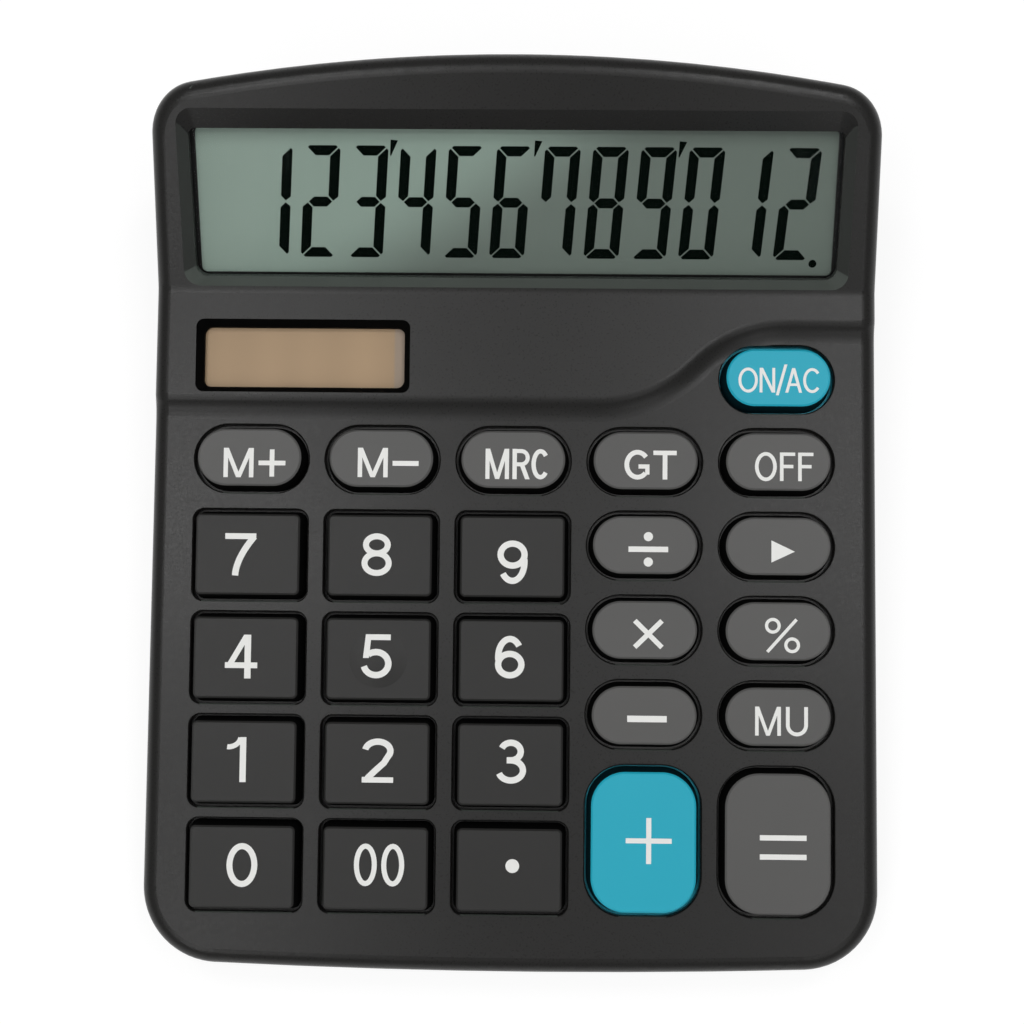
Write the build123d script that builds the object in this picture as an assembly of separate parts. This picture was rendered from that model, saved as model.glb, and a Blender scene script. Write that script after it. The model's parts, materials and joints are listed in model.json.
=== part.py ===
"""Twelve-digit desk calculator: two-part moulded case, keys on a rubber dome sheet, display, solar cell.

Millimetres and degrees. +X is to the right, +Y to the rear, +Z up, and the origin is on the table under
the middle of the case. The key deck and the display head each have a sloping plane of their own.
"""

from build123d import *
from math import cos, radians, sin, sqrt, tan
import os

# Case shell
WALL = 2.0
DECK_WALL = 2.0
HEAD_WALL = 2.0
FLOOR = 2.0
SIDE_MARGIN = 7.5
FRONT_MARGIN = 9.3
FRONT_CORNER = 12.5
REAR_CORNER = 9.0
FRONT_BOW = 1.4
REAR_BOW = 5.3
CASE_DRAFT = 2.6
BASE_DRAFT = 3.0
RIM_FILLET = 2.5
BASE_FILLET = 1.5
FOOT_PROUD = 1.0
SEAM_HEIGHT = 5.5
DECK_FRONT_HEIGHT = 12.2
DECK_TILT = 5.3
HEAD_TILT = 29.5
HEAD_DEPTH = 35.63
VALLEY_RADIUS = 3.0
LIP_WALL = 1.0
LIP_REACH = 1.5
LIP_CLEARANCE = 0.2

# Raised platform for the solar cell, with an S-shaped front edge that swells over into a hollow cove
PLATFORM_RISE = 1.2
PLATFORM_COVE = 5.0
PLATFORM_SWELL = 2.5
PLATFORM_GAP = 4.95
PLATFORM_END_GAP = 4.35
SWEEP_START = 13.0
SWEEP_LENGTH = 31.0
RIDGE_GAP = 8.5

# Key openings in the deck
KEY_HOLE_WIDTH = 18.6
DIGIT_HOLE_LENGTH = 14.85
OVAL_HOLE_LENGTH = 11.1
COLUMN_GAP = 2.7
DIGIT_ROW_GAP = 1.75
OVAL_ROW_GAP = 2.5
MEMORY_GAP = 2.7
DIGIT_HOLE_CORNER = 1.8
TALL_HOLE_CORNER = 6.4
HOLE_BEVEL = 0.2

# Key caps and the rubber dome sheet under them
KEY_CLEARANCE = 0.3
KEY_PROUD = 2.6
KEY_DRAFT = 8.0
KEY_EDGE = 0.25
KEY_CROWN = 1.4
KEY_WALL = 1.4
KEY_TRAVEL = 1.8
FLANGE_THICKNESS = 1.0
FLANGE_SPACING = 0.55
FLANGE_CLEARANCE = 0.25
STEM_WIDTH = 5.0
STEM_RIB = 1.2
STEM_DROP = 0.35
DOME_CLEARANCE = 0.05
DOME_BASE_RADIUS = 4.2
DOME_TOP_RADIUS = 2.8
MAT_THICKNESS = 1.0
MAT_CLEARANCE = 0.75
HOME_DOME_RADIUS = 4.6
HOME_DOME_RISE = 0.35

# Circuit board and what stands on it
BOARD_THICKNESS = 1.6
BOARD_SIDE_GAP = 3.3
BOARD_FRONT = 4.0
BOARD_POST_RADIUS = 2.1
BOARD_POST_FRONT = 6.2
BOARD_POST_INSET = 14.6
BOARD_POST_SPACE = 0.35
BOARD_REAR_SPACE = 2.5
CHIP_RADIUS = 7.5
CHIP_RISE = 1.7
CAPACITOR_RADIUS = 2.5
CAPACITOR_LENGTH = 7.0
CAPACITOR_EDGE = 0.5

# Display: bevelled pocket, lens, glass cell and holder
BEZEL_TOP_SIDE = 7.0
BEZEL_BOTTOM_SIDE = 7.1
BEZEL_LIP = 1.6
DISPLAY_HEIGHT = 24.1
POCKET_SIDE = 5.5
POCKET_LIP = 0.5
POCKET_TOP = 3.5
POCKET_DEPTH = 2.2
POCKET_CORNER = 2.6
OPENING_TOP_CORNER = 1.2
OPENING_BOTTOM_CORNER = 2.0
OPENING_WALL = 1.6
LENS_THICKNESS = 1.0
LENS_SIDE_LAP = 1.3
LENS_END_LAP = 1.1
LENS_SPACE = 0.15
GLASS_THICKNESS = 0.7
GLASS_SIDE_LAP = 0.4
GLASS_LIP_LAP = 0.9
GLASS_LEDGE = 1.7
REFLECTOR_THICKNESS = 0.2
HOLDER_THICKNESS = 1.2
HOLDER_EAR = 5.6
HOLDER_TOP_SCREW = 18.0
HOLDER_LIP_INSET = 16.6
HOLDER_SCREW_SPACE = 0.3
RIBBON_WIDTH = 60.0
RIBBON_THICKNESS = 0.2
RIBBON_BOND = 4.0
RIBBON_BEND = 4.0

# Solar cell
SOLAR_WIDTH = 34.9
SOLAR_HEIGHT = 11.95
SOLAR_CORNER = 1.3
SOLAR_BEVEL = 1.0
SOLAR_GAP = 0.3
SOLAR_WINDOW_DEPTH = 1.8
SOLAR_WINDOW_THICKNESS = 0.8
SOLAR_WINDOW_CLEARANCE = 0.1
SOLAR_WINDOW_SPACE = 0.1
CELL_LAP = 0.3
CELL_THICKNESS = 1.1
SOLAR_LEAD_SPACING = 24.0
SOLAR_LEAD_INSET = 2.5

# AA cell, its compartment and door
CELL_RADIUS = 7.25
CELL_LENGTH = 50.5
NUB_RADIUS = 2.75
NUB_LENGTH = 1.2
CELL_SPACE = 0.65
CELL_LIFT = 0.4
TUNNEL_WALL = 1.4
TUNNEL_REAR_GAP = 4.7
SPRING_LENGTH = 5.9
SPRING_WIDTH = 6.0
SPRING_TIP = 3.0
CONTACT_THICKNESS = 0.4
CONTACT_WIDTH = 9.0
CONTACT_SPACE = 0.1
CONTACT_CORNER = 1.0
TAIL_WIDTH = 3.0
TAIL_REACH = 1.6
TAIL_CLEARANCE = 0.3
LEAD_RADIUS = 0.6
LEAD_BEND = 3.0
LEAD_RUN = 5.0
LEAD_INSET = 5.0
DOOR_CLEARANCE = 0.3
DOOR_CORNER = 1.2
DOOR_TAB_WIDTH = 6.0
DOOR_TAB_THICKNESS = 1.0
DOOR_TAB_REACH = 1.7
DOOR_TAB_OFFSET = 16.0
DOOR_TAB_CLEARANCE = 0.25
DOOR_CATCH_WIDTH = 9.0
DOOR_GRIP_RADIUS = 6.0
DOOR_GRIP_DEPTH = 0.8

# Screws and feet
SCREW_RADIUS = 1.2
SCREW_HEAD_RADIUS = 2.5
SCREW_HEAD_HEIGHT = 1.5
SCREW_EDGE = 0.4
SCREW_BITE = 3.6
SCREW_PILOT_CLEARANCE = 0.1
SCREW_HOLE_CLEARANCE = 0.3
SMALL_SCREW_RADIUS = 0.9
SMALL_HEAD_RADIUS = 2.0
SMALL_HEAD_HEIGHT = 1.1
SMALL_SCREW_BITE = 3.2
BOSS_RADIUS = 2.4
BOSS_GAP = 0.1
WELL_WALL = 1.2
WELL_ROOF = 2.4
REAR_BOSS_HEIGHT = 14.0
BOSS_FRONT_X = 32.0
BOSS_FRONT_INSET = 5.2
BOSS_MIDDLE_INSET = 5.6
BOSS_MIDDLE_SETBACK = 1.3
BOSS_REAR_INSET = 14.6
BOSS_WALL_LAP = 0.6
FOOT_RADIUS = 5.0
FOOT_RECESS = 0.5
FOOT_EDGE = 0.4
FOOT_SIDE_INSET = 13.0
FOOT_END_INSET = 15.0

# Key layout: name, kind, column, row. Columns run left to right and rows of each kind front to rear.
KEYS = [
    ("key_0", "digit", 0, 0),
    ("key_00", "digit", 1, 0),
    ("key_point", "digit", 2, 0),
    ("key_1", "digit", 0, 1),
    ("key_2", "digit", 1, 1),
    ("key_3", "digit", 2, 1),
    ("key_4", "digit", 0, 2),
    ("key_5", "digit", 1, 2),
    ("key_6", "digit", 2, 2),
    ("key_7", "digit", 0, 3),
    ("key_8", "digit", 1, 3),
    ("key_9", "digit", 2, 3),
    ("key_add", "tall", 3, 0),
    ("key_equals", "tall", 4, 0),
    ("key_subtract", "oval", 3, 0),
    ("key_markup", "oval", 4, 0),
    ("key_multiply", "oval", 3, 1),
    ("key_percent", "oval", 4, 1),
    ("key_divide", "oval", 3, 2),
    ("key_backspace", "oval", 4, 2),
    ("key_memory_plus", "oval", 0, 3),
    ("key_memory_minus", "oval", 1, 3),
    ("key_memory_recall", "oval", 2, 3),
    ("key_grand_total", "oval", 3, 3),
    ("key_off", "oval", 4, 3),
    ("key_on_clear", "oval", 4, 4),
]
COLUMNS = 5
DIGIT_ROWS = 4
OVAL_ROWS = 3

# Places along the deck, measured up its slope from the front edge
column_pitch = KEY_HOLE_WIDTH + COLUMN_GAP
digit_pitch = DIGIT_HOLE_LENGTH + DIGIT_ROW_GAP
oval_pitch = OVAL_HOLE_LENGTH + OVAL_ROW_GAP
keys_left = -((COLUMNS - 1) * column_pitch + KEY_HOLE_WIDTH) / 2
case_width = 2 * (SIDE_MARGIN - keys_left)
digits_rear = FRONT_MARGIN + DIGIT_ROWS * digit_pitch - DIGIT_ROW_GAP
memory_row = digits_rear + MEMORY_GAP + OVAL_HOLE_LENGTH / 2
tall_hole_length = memory_row + OVAL_HOLE_LENGTH / 2 - (OVAL_ROWS + 1) * oval_pitch - FRONT_MARGIN
platform_front = memory_row + OVAL_HOLE_LENGTH / 2 + PLATFORM_GAP
platform_end = memory_row + oval_pitch + OVAL_HOLE_LENGTH / 2 + PLATFORM_END_GAP
ridge = memory_row + oval_pitch + OVAL_HOLE_LENGTH / 2 + RIDGE_GAP

# The case in plan, centred on the origin
deck_cos = cos(radians(DECK_TILT))
deck_sin = sin(radians(DECK_TILT))
case_length = ridge * deck_cos - PLATFORM_RISE * deck_sin + HEAD_DEPTH
front_y = -case_length / 2
rear_y = case_length / 2
base_z = FOOT_PROUD
seam_z = base_z + SEAM_HEIGHT
deck_front_z = base_z + DECK_FRONT_HEIGHT
ridge_z = deck_front_z + ridge * deck_sin + PLATFORM_RISE * deck_cos
head_top_z = ridge_z + HEAD_DEPTH * tan(radians(HEAD_TILT))

# Sloping planes: x to the right, y up the slope, z out of the surface
deck = Plane((0, front_y, deck_front_z), (1, 0, 0), (0, -deck_sin, deck_cos))
ridge_point = deck.from_local_coords(Vector(0, ridge, PLATFORM_RISE))
head = Plane(ridge_point, (1, 0, 0), (0, -sin(radians(HEAD_TILT)), cos(radians(HEAD_TILT))))

# Heights below the deck surface
flange_top = -DECK_WALL - FLANGE_CLEARANCE
flange_bottom = flange_top - FLANGE_THICKNESS
stem_bottom = flange_bottom - STEM_DROP
dome_top = stem_bottom - DOME_CLEARANCE
mat_top = flange_bottom - KEY_TRAVEL - MAT_CLEARANCE
board_top = mat_top - MAT_THICKNESS
board_bottom = board_top - BOARD_THICKNESS
flange_lap = (DIGIT_ROW_GAP - FLANGE_SPACING) / 2

# Depths below the display head's surface
frame_back = -POCKET_DEPTH - OPENING_WALL
lens_back = frame_back - LENS_THICKNESS
cell_front = lens_back - LENS_SPACE
cell_middle = cell_front - GLASS_THICKNESS
cell_back = cell_middle - GLASS_THICKNESS
holder_front = cell_back - REFLECTOR_THICKNESS
holder_back = holder_front - HOLDER_THICKNESS
display_top = BEZEL_LIP + DISPLAY_HEIGHT
glass_half = case_width / 2 - BEZEL_TOP_SIDE + GLASS_SIDE_LAP
glass_foot = BEZEL_LIP - GLASS_LIP_LAP
ledge_foot = glass_foot - GLASS_LEDGE
glass_top = display_top + GLASS_LIP_LAP

# Battery compartment, under the display head
tunnel_outer = CELL_RADIUS + CELL_SPACE + TUNNEL_WALL
tunnel_inner = CELL_RADIUS + CELL_SPACE
tunnel_half = (CELL_LENGTH + SPRING_LENGTH) / 2 + CONTACT_SPACE
cell_y = rear_y - TUNNEL_REAR_GAP - tunnel_outer
cell_z = base_z + FLOOR + CELL_LIFT + CELL_RADIUS
plus_face = tunnel_half - CONTACT_SPACE - CONTACT_THICKNESS
door_front = cell_y - tunnel_inner
door_rear = cell_y + tunnel_inner
lead_start = tunnel_half + TUNNEL_WALL + TAIL_REACH

# Screw and foot places in plan
case_screws = [
    (-BOSS_FRONT_X, front_y + BOSS_FRONT_INSET),
    (BOSS_FRONT_X, front_y + BOSS_FRONT_INSET),
    (-case_width / 2 + BOSS_MIDDLE_INSET, ridge_point.Y - BOSS_MIDDLE_SETBACK),
    (case_width / 2 - BOSS_MIDDLE_INSET, ridge_point.Y - BOSS_MIDDLE_SETBACK),
]
well_roof = seam_z + LIP_REACH + BOSS_GAP


def key_place(kind, column, row):
    """Centre of a key on the deck, as distances across and up the slope."""
    across = keys_left + KEY_HOLE_WIDTH / 2 + column * column_pitch
    along = {
        "digit": FRONT_MARGIN + DIGIT_HOLE_LENGTH / 2 + row * digit_pitch,
        "oval": memory_row + (row - OVAL_ROWS) * oval_pitch,
        "tall": FRONT_MARGIN + tall_hole_length / 2,
    }
    return across, along[kind]


def key_outline(kind, grow):
    """Outline of a key opening, grown or shrunk evenly all round."""
    width = KEY_HOLE_WIDTH + 2 * grow
    if kind == "oval":
        return SlotOverall(width, OVAL_HOLE_LENGTH + 2 * grow)
    length = (tall_hole_length if kind == "tall" else DIGIT_HOLE_LENGTH) + 2 * grow
    corner = (TALL_HOLE_CORNER if kind == "tall" else DIGIT_HOLE_CORNER) + grow
    return RectangleRounded(width, length, corner) if corner > 0 else Rectangle(width, length)


def plan_outline(inset):
    """Case outline in plan at the seam: bowed front, straight sides, arched rear, rounded corners."""
    half = case_width / 2 - inset
    front = front_y + inset
    rear = rear_y - inset
    front_edge = ThreePointArc((-half, front + FRONT_BOW), (0, front), (half, front + FRONT_BOW))
    rear_edge = ThreePointArc((half, rear - REAR_BOW), (0, rear), (-half, rear - REAR_BOW))
    sides = [Line(front_edge @ 1, rear_edge @ 0), Line(rear_edge @ 1, front_edge @ 0)]
    face = make_face(Curve() + [front_edge, rear_edge, *sides])
    face = fillet(face.vertices().sort_by(Axis.Y)[:2], FRONT_CORNER - inset)
    return fillet(face.vertices().sort_by(Axis.Y)[-2:], REAR_CORNER - inset)


def at_height(sketch, height):
    """A plan sketch moved to a height."""
    return Pos(0, 0, height) * sketch


def under_surface(rise, drop, valley):
    """Everything below the deck, raised by rise, and below the display head, lowered by drop."""
    deck_line = deck.offset(rise)
    head_line = head.offset(-drop)
    start = deck_line.from_local_coords(Vector(0, -case_length, 0))
    end = head_line.from_local_coords(Vector(0, case_length, 0))
    deck_slope = tan(radians(DECK_TILT))
    head_slope = tan(radians(HEAD_TILT))
    deck_level = deck_line.origin.Z - deck_slope * deck_line.origin.Y
    head_level = head_line.origin.Z - head_slope * head_line.origin.Y
    meet_y = (deck_level - head_level) / (head_slope - deck_slope)
    meet_z = deck_level + deck_slope * meet_y
    profile = Polygon(
        (start.Y, start.Z),
        (start.Y, -case_length),
        (end.Y, -case_length),
        (end.Y, end.Z),
        (meet_y, meet_z),
        align=None,
    )
    if valley:
        corner = profile.vertices().sort_by_distance((meet_y, meet_z, 0))[0]
        profile = fillet(corner, valley)
    return extrude(Plane.YZ * profile, amount=case_width, both=True)


def case_volume(inset, rise, drop, valley=0.0):
    """Upper half of the case as a solid block, drafted from the seam up to the sloping surfaces."""
    block = extrude(at_height(plan_outline(inset), seam_z), head_top_z, taper=CASE_DRAFT)
    return block & under_surface(rise, drop, valley)


def outer_volume():
    """Outside of the upper shell: key deck, platform and display head, with the top rim rounded over."""
    raised = case_volume(0, PLATFORM_RISE, 0, VALLEY_RADIUS)
    block = case_volume(0, 0, 0, VALLEY_RADIUS) + (raised & platform_volume())
    facing_up = cos(radians(2 * HEAD_TILT))
    tops = [face for face in block.faces() if face.normal_at().Z > facing_up]
    edges = [edge for face in tops for edge in face.edges()]
    rim = [edge for edge in edges if sum(edge.is_same(other) for other in edges) == 1]
    return fillet(rim, RIM_FILLET)


def platform_edge():
    """Front edge of the platform on the deck: straight, then an S-curve back to the right."""
    reach = case_width
    sweep_end = SWEEP_START + SWEEP_LENGTH
    middle = (SWEEP_START + SWEEP_LENGTH / 2, (platform_front + platform_end) / 2)
    lead = Line((-reach, platform_front), (SWEEP_START, platform_front))
    first = TangentArc(lead @ 1, middle, tangent=(1, 0))
    second = TangentArc(middle, (sweep_end, platform_end), tangent=first % 1)
    tail = Line(second @ 1, (reach, platform_end))
    return Curve() + [lead, first, second, tail]


def platform_volume():
    """Space over the platform behind its front edge, with the edge that swells over into a hollow cove."""
    reach = case_width
    back = Polyline((reach, platform_end), (reach, 2 * ridge), (-reach, 2 * ridge), (-reach, platform_front))
    floor = at_height(make_face(platform_edge() + back), -PLATFORM_RISE)
    above = extrude(floor, 2 * PLATFORM_RISE + VALLEY_RADIUS)
    radii = PLATFORM_COVE + PLATFORM_SWELL
    run = sqrt(2 * radii * PLATFORM_RISE - PLATFORM_RISE ** 2)
    crest = (platform_front, PLATFORM_RISE)
    foot = (platform_front - run, 0)
    turn = (foot[0] + run * PLATFORM_COVE / radii, PLATFORM_RISE * PLATFORM_COVE / radii)
    hollow = RadiusArc(turn, foot, PLATFORM_COVE)
    swell = RadiusArc(turn, crest, PLATFORM_SWELL)
    under = Polyline(foot, (foot[0], -PLATFORM_RISE), (platform_front, -PLATFORM_RISE), crest)
    section = make_face(Curve() + [hollow, swell, under])
    front = sweep(Plane.YZ.offset(-reach) * section, path=platform_edge())
    return deck * (above + front)


def display_outline(side_top, side_bottom, foot, top, corner_top, corner_foot):
    """Outline on the display head, from the bezel widths at its two ends."""
    wide = case_width / 2 - side_top
    narrow = case_width / 2 - side_bottom
    face = Polygon((-narrow, foot), (narrow, foot), (wide, top), (-wide, top), align=None)
    face = fillet(face.vertices().sort_by(Axis.Y)[:2], corner_foot)
    return fillet(face.vertices().sort_by(Axis.Y)[-2:], corner_top)


def display_pocket():
    """Bevelled pocket in the display head and the straight opening at its foot."""
    outer = display_outline(
        POCKET_SIDE, POCKET_SIDE, POCKET_LIP, display_top + POCKET_TOP, POCKET_CORNER, POCKET_CORNER
    )
    inner = display_outline(
        BEZEL_TOP_SIDE, BEZEL_BOTTOM_SIDE, BEZEL_LIP, display_top, OPENING_TOP_CORNER, OPENING_BOTTOM_CORNER
    )
    bevel = loft([head * outer, head.offset(-POCKET_DEPTH) * inner])
    above = extrude(head * outer, VALLEY_RADIUS)
    opening = extrude(head.offset(-POCKET_DEPTH) * inner, -OPENING_WALL - HEAD_WALL)
    return bevel + above + opening


def head_rectangle(half, foot, top):
    """Rectangle on the display head, centred across and between two distances up its slope."""
    return Pos(0, (foot + top) / 2) * Rectangle(2 * half, top - foot)


def head_slab(half, foot, top, front, back):
    """Flat plate parallel to the display head between two depths."""
    return extrude(head.offset(back) * head_rectangle(half, foot, top), front - back)


def board_posts():
    """Places of the posts that carry the circuit board, on the deck."""
    between = [keys_left + KEY_HOLE_WIDTH + COLUMN_GAP / 2 + n * column_pitch for n in range(COLUMNS - 1)]
    rear = memory_row + DOME_BASE_RADIUS + BOARD_POST_RADIUS + 2 * BOARD_POST_SPACE
    front = [(side * (case_width / 2 - BOARD_POST_INSET), BOARD_POST_FRONT) for side in (-1, 0, 1)]
    middle = [(between[3], memory_row - oval_pitch * (row + 1 / 2)) for row in (0, 2)]
    return front + middle + [(between[0], rear), (between[2], rear)]


def holder_posts():
    """Places of the posts that carry the display holder, on the display head."""
    top = glass_top + SMALL_HEAD_RADIUS + HOLDER_SCREW_SPACE
    foot = ledge_foot - SMALL_HEAD_RADIUS - HOLDER_SCREW_SPACE
    upper = [(side * HOLDER_TOP_SCREW, top) for side in (-1, 1)]
    return upper + [(side * (case_width / 2 - HOLDER_LIP_INSET), foot) for side in (-1, 1)]


def rear_bosses():
    """Places of the two rear case screws, beside the arched rear wall."""
    arch = (case_width ** 2 / 4 + REAR_BOW ** 2) / (2 * REAR_BOW)
    across = case_width / 2 - BOSS_REAR_INSET
    wall = rear_y - WALL - across ** 2 / (2 * arch)
    return [(side * across, wall - BOSS_RADIUS) for side in (-1, 1)]


def solar_place():
    """Plane on the platform at the middle of the solar window."""
    across = keys_left + SOLAR_WIDTH / 2
    along = platform_front + SOLAR_GAP + SOLAR_HEIGHT / 2
    return deck * Pos(across, along, PLATFORM_RISE)


def solar_outline(inset):
    """Outline of the solar window, shrunk evenly."""
    return RectangleRounded(SOLAR_WIDTH - 2 * inset, SOLAR_HEIGHT - 2 * inset, SOLAR_CORNER)


def solar_cut():
    """Bevelled solar window opening through the platform."""
    bevel = loft([solar_outline(0), at_height(solar_outline(SOLAR_BEVEL), -SOLAR_WINDOW_DEPTH)])
    through = extrude(at_height(solar_outline(SOLAR_BEVEL), -SOLAR_WINDOW_DEPTH), -PLATFORM_RISE - DECK_WALL)
    above = extrude(solar_outline(0), PLATFORM_RISE)
    return solar_place() * (bevel + through + above)


def key_cut(kind):
    """Key opening with a bevelled mouth, on the deck at the origin."""
    hole = extrude(at_height(key_outline(kind, 0), -2 * DECK_WALL), 3 * DECK_WALL)
    mouth = extrude(key_outline(kind, HOLE_BEVEL), -HOLE_BEVEL, taper=45)
    return hole + mouth


def make_top_case():
    """Upper shell: sloping key deck, solar platform, display head, and posts for what hangs from it."""
    outer = outer_volume()
    body = outer - case_volume(WALL, -DECK_WALL, HEAD_WALL)
    frame_half = case_width / 2 - WALL
    frame = head_slab(frame_half, ledge_foot, glass_top + LENS_END_LAP, -HEAD_WALL / 2, frame_back)
    for across, along in board_posts():
        post = Cylinder(BOARD_POST_RADIUS, -board_top, align=(Align.CENTER, Align.CENTER, Align.MAX))
        body += deck * Pos(across, along, 0) * post & outer
    for across, along in holder_posts():
        post = Cylinder(SMALL_HEAD_RADIUS, -holder_front, align=(Align.CENTER, Align.CENTER, Align.MAX))
        body += head * Pos(across, along, 0) * post & outer
    for across, along in case_screws:
        post = Cylinder(BOSS_RADIUS, head_top_z, align=(Align.CENTER, Align.CENTER, Align.MIN))
        body += Pos(across, along, well_roof + BOSS_GAP) * post & outer
    for across, along in rear_bosses():
        radius = BOSS_RADIUS + BOSS_WALL_LAP
        post = Cylinder(radius, REAR_BOSS_HEIGHT, align=(Align.CENTER, Align.CENTER, Align.MIN))
        body += Pos(across, along, well_roof + BOSS_GAP) * post & outer
    body += frame & outer
    body -= display_pocket()
    body -= solar_cut()
    body -= [deck * Pos(*key_place(kind, column, row), 0) * key_cut(kind) for _, kind, column, row in KEYS]
    pilot = SMALL_SCREW_RADIUS + SCREW_PILOT_CLEARANCE
    small = Cylinder(pilot, SMALL_SCREW_BITE, align=(Align.CENTER, Align.CENTER, Align.MIN))
    large = Cylinder(
        SCREW_RADIUS + SCREW_PILOT_CLEARANCE, SCREW_BITE, align=(Align.CENTER, Align.CENTER, Align.MIN)
    )
    body -= [deck * Pos(across, along, board_top) * small for across, along in board_posts()]
    body -= [head * Pos(across, along, holder_front) * small for across, along in holder_posts()]
    bosses = case_screws + rear_bosses()
    body -= [Pos(across, along, well_roof + BOSS_GAP) * large for across, along in bosses]
    return body


def make_bottom_case():
    """Tray with a locating lip, screw wells, foot recesses and the battery compartment."""
    block = extrude(at_height(plan_outline(0), seam_z), SEAM_HEIGHT, dir=(0, 0, -1), taper=BASE_DRAFT)
    block = fillet(block.faces().sort_by(Axis.Z)[0].edges(), BASE_FILLET)
    body = block - extrude(at_height(plan_outline(WALL), base_z + FLOOR), seam_z)
    gap = WALL + LIP_CLEARANCE
    ring = plan_outline(gap) - plan_outline(gap + LIP_WALL)
    foot = plan_outline(WALL / 2) - plan_outline(gap + LIP_WALL)
    body += extrude(at_height(ring, seam_z - LIP_REACH), 2 * LIP_REACH)
    body += extrude(at_height(foot, seam_z - LIP_REACH), LIP_REACH)
    inside = block + extrude(at_height(plan_outline(gap), seam_z), well_roof - seam_z)
    well = SCREW_HEAD_RADIUS + SCREW_HOLE_CLEARANCE
    places = case_screws + rear_bosses()
    column = Cylinder(well + WELL_WALL, well_roof - base_z, align=(Align.CENTER, Align.CENTER, Align.MIN))
    for across, along in places:
        body += Pos(across, along, base_z) * column & inside
    body += tunnel(tunnel_outer, tunnel_half + TUNNEL_WALL, base_z + FLOOR / 2)
    body -= tunnel(tunnel_inner, tunnel_half, base_z + FLOOR)
    body -= door_opening()
    body -= [tail_slot(side) for side in (-1, 1)]
    counterbore = Cylinder(well, well_roof - WELL_ROOF, align=(Align.CENTER, Align.CENTER, Align.MIN))
    clearance = Cylinder(
        SCREW_RADIUS + SCREW_HOLE_CLEARANCE, 2 * well_roof, align=(Align.CENTER, Align.CENTER, Align.MIN)
    )
    body -= [Pos(across, along) * counterbore for across, along in places]
    body -= [Pos(across, along) * clearance for across, along in places]
    recess = Cylinder(FOOT_RADIUS, FOOT_RECESS, align=(Align.CENTER, Align.CENTER, Align.MIN))
    body -= [Pos(across, along, base_z) * recess for across, along in foot_places()]
    return body


def tunnel(radius, half, foot):
    """Round-topped block over the AA cell, standing on the floor."""
    walls = Pos(cell_y, (foot + cell_z) / 2) * Rectangle(2 * radius, cell_z - foot)
    profile = walls + Pos(cell_y, cell_z) * Circle(radius)
    profile &= Pos(cell_y, foot) * Rectangle(4 * radius, 4 * radius, align=(Align.CENTER, Align.MIN))
    return extrude(Plane.YZ * profile, half, both=True)


def contact_tail(side, clearance):
    """Straight tail through an end wall of the compartment: side is 1 at plus and -1 at minus."""
    start = tunnel_half - CONTACT_SPACE - CONTACT_THICKNESS
    tail = Box(lead_start - start, TAIL_WIDTH + 2 * clearance, CONTACT_THICKNESS + 2 * clearance)
    return Pos(side * (start + lead_start) / 2, cell_y, cell_z) * tail


def tail_slot(side):
    """Slot in an end wall of the compartment for a contact's tail."""
    return contact_tail(side, TAIL_CLEARANCE)


def door_outline(inset):
    """Plan outline of the battery door opening, shrunk evenly."""
    length = door_rear - door_front
    shape = RectangleRounded(2 * (tunnel_half - inset), length - 2 * inset, DOOR_CORNER)
    return Pos(0, (door_front + door_rear) / 2) * shape


def door_opening():
    """Door opening in the floor, with slots for the door's tabs in the compartment's front wall."""
    hole = extrude(at_height(door_outline(0), 0), base_z + FLOOR)
    tab_top = base_z + FLOOR + DOOR_TAB_CLEARANCE + 2 * DOOR_TAB_THICKNESS
    slot = Box(
        DOOR_TAB_WIDTH + 2 * DOOR_CLEARANCE,
        2 * DOOR_TAB_REACH + 2 * TUNNEL_WALL,
        tab_top - base_z - FLOOR,
        align=(Align.CENTER, Align.CENTER, Align.MIN),
    )
    return hole + [Pos(side * DOOR_TAB_OFFSET, door_front, base_z + FLOOR) * slot for side in (-1, 1)]


def foot_places():
    """Places of the four feet in plan."""
    across = case_width / 2 - FOOT_SIDE_INSET
    ends = (front_y + FOOT_END_INSET, rear_y - REAR_BOW - FOOT_END_INSET)
    return [(side * across, end) for side in (-1, 1) for end in ends]


def make_battery_door():
    """Door flush with the base: two tabs at its front edge, a catch and a finger grip at its rear edge."""
    plate = extrude(at_height(door_outline(DOOR_CLEARANCE), base_z), FLOOR)
    tab_floor = base_z + FLOOR + DOOR_TAB_CLEARANCE
    reach = DOOR_TAB_REACH + DOOR_CLEARANCE
    front_bottom = (Align.CENTER, Align.MIN, Align.MIN)
    tab = Box(DOOR_TAB_WIDTH, reach + TUNNEL_WALL, DOOR_TAB_THICKNESS, align=front_bottom)
    root = Box(DOOR_TAB_WIDTH, TUNNEL_WALL, FLOOR, align=front_bottom)
    for side in (-1, 1):
        plate += Pos(side * DOOR_TAB_OFFSET, door_front - DOOR_TAB_REACH, tab_floor) * tab
        plate += Pos(side * DOOR_TAB_OFFSET, door_front + DOOR_CLEARANCE, base_z + FLOOR / 2) * root
    catch = Cylinder(DOOR_CLEARANCE / 2, DOOR_CATCH_WIDTH, rotation=(0, 90, 0))
    plate += Pos(0, door_rear - DOOR_CLEARANCE, base_z + FLOOR / 2) * catch
    grip = Cylinder(DOOR_GRIP_RADIUS, DOOR_GRIP_DEPTH, align=(Align.CENTER, Align.CENTER, Align.MIN))
    return plate - Pos(0, door_rear - DOOR_CLEARANCE, base_z) * grip


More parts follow.
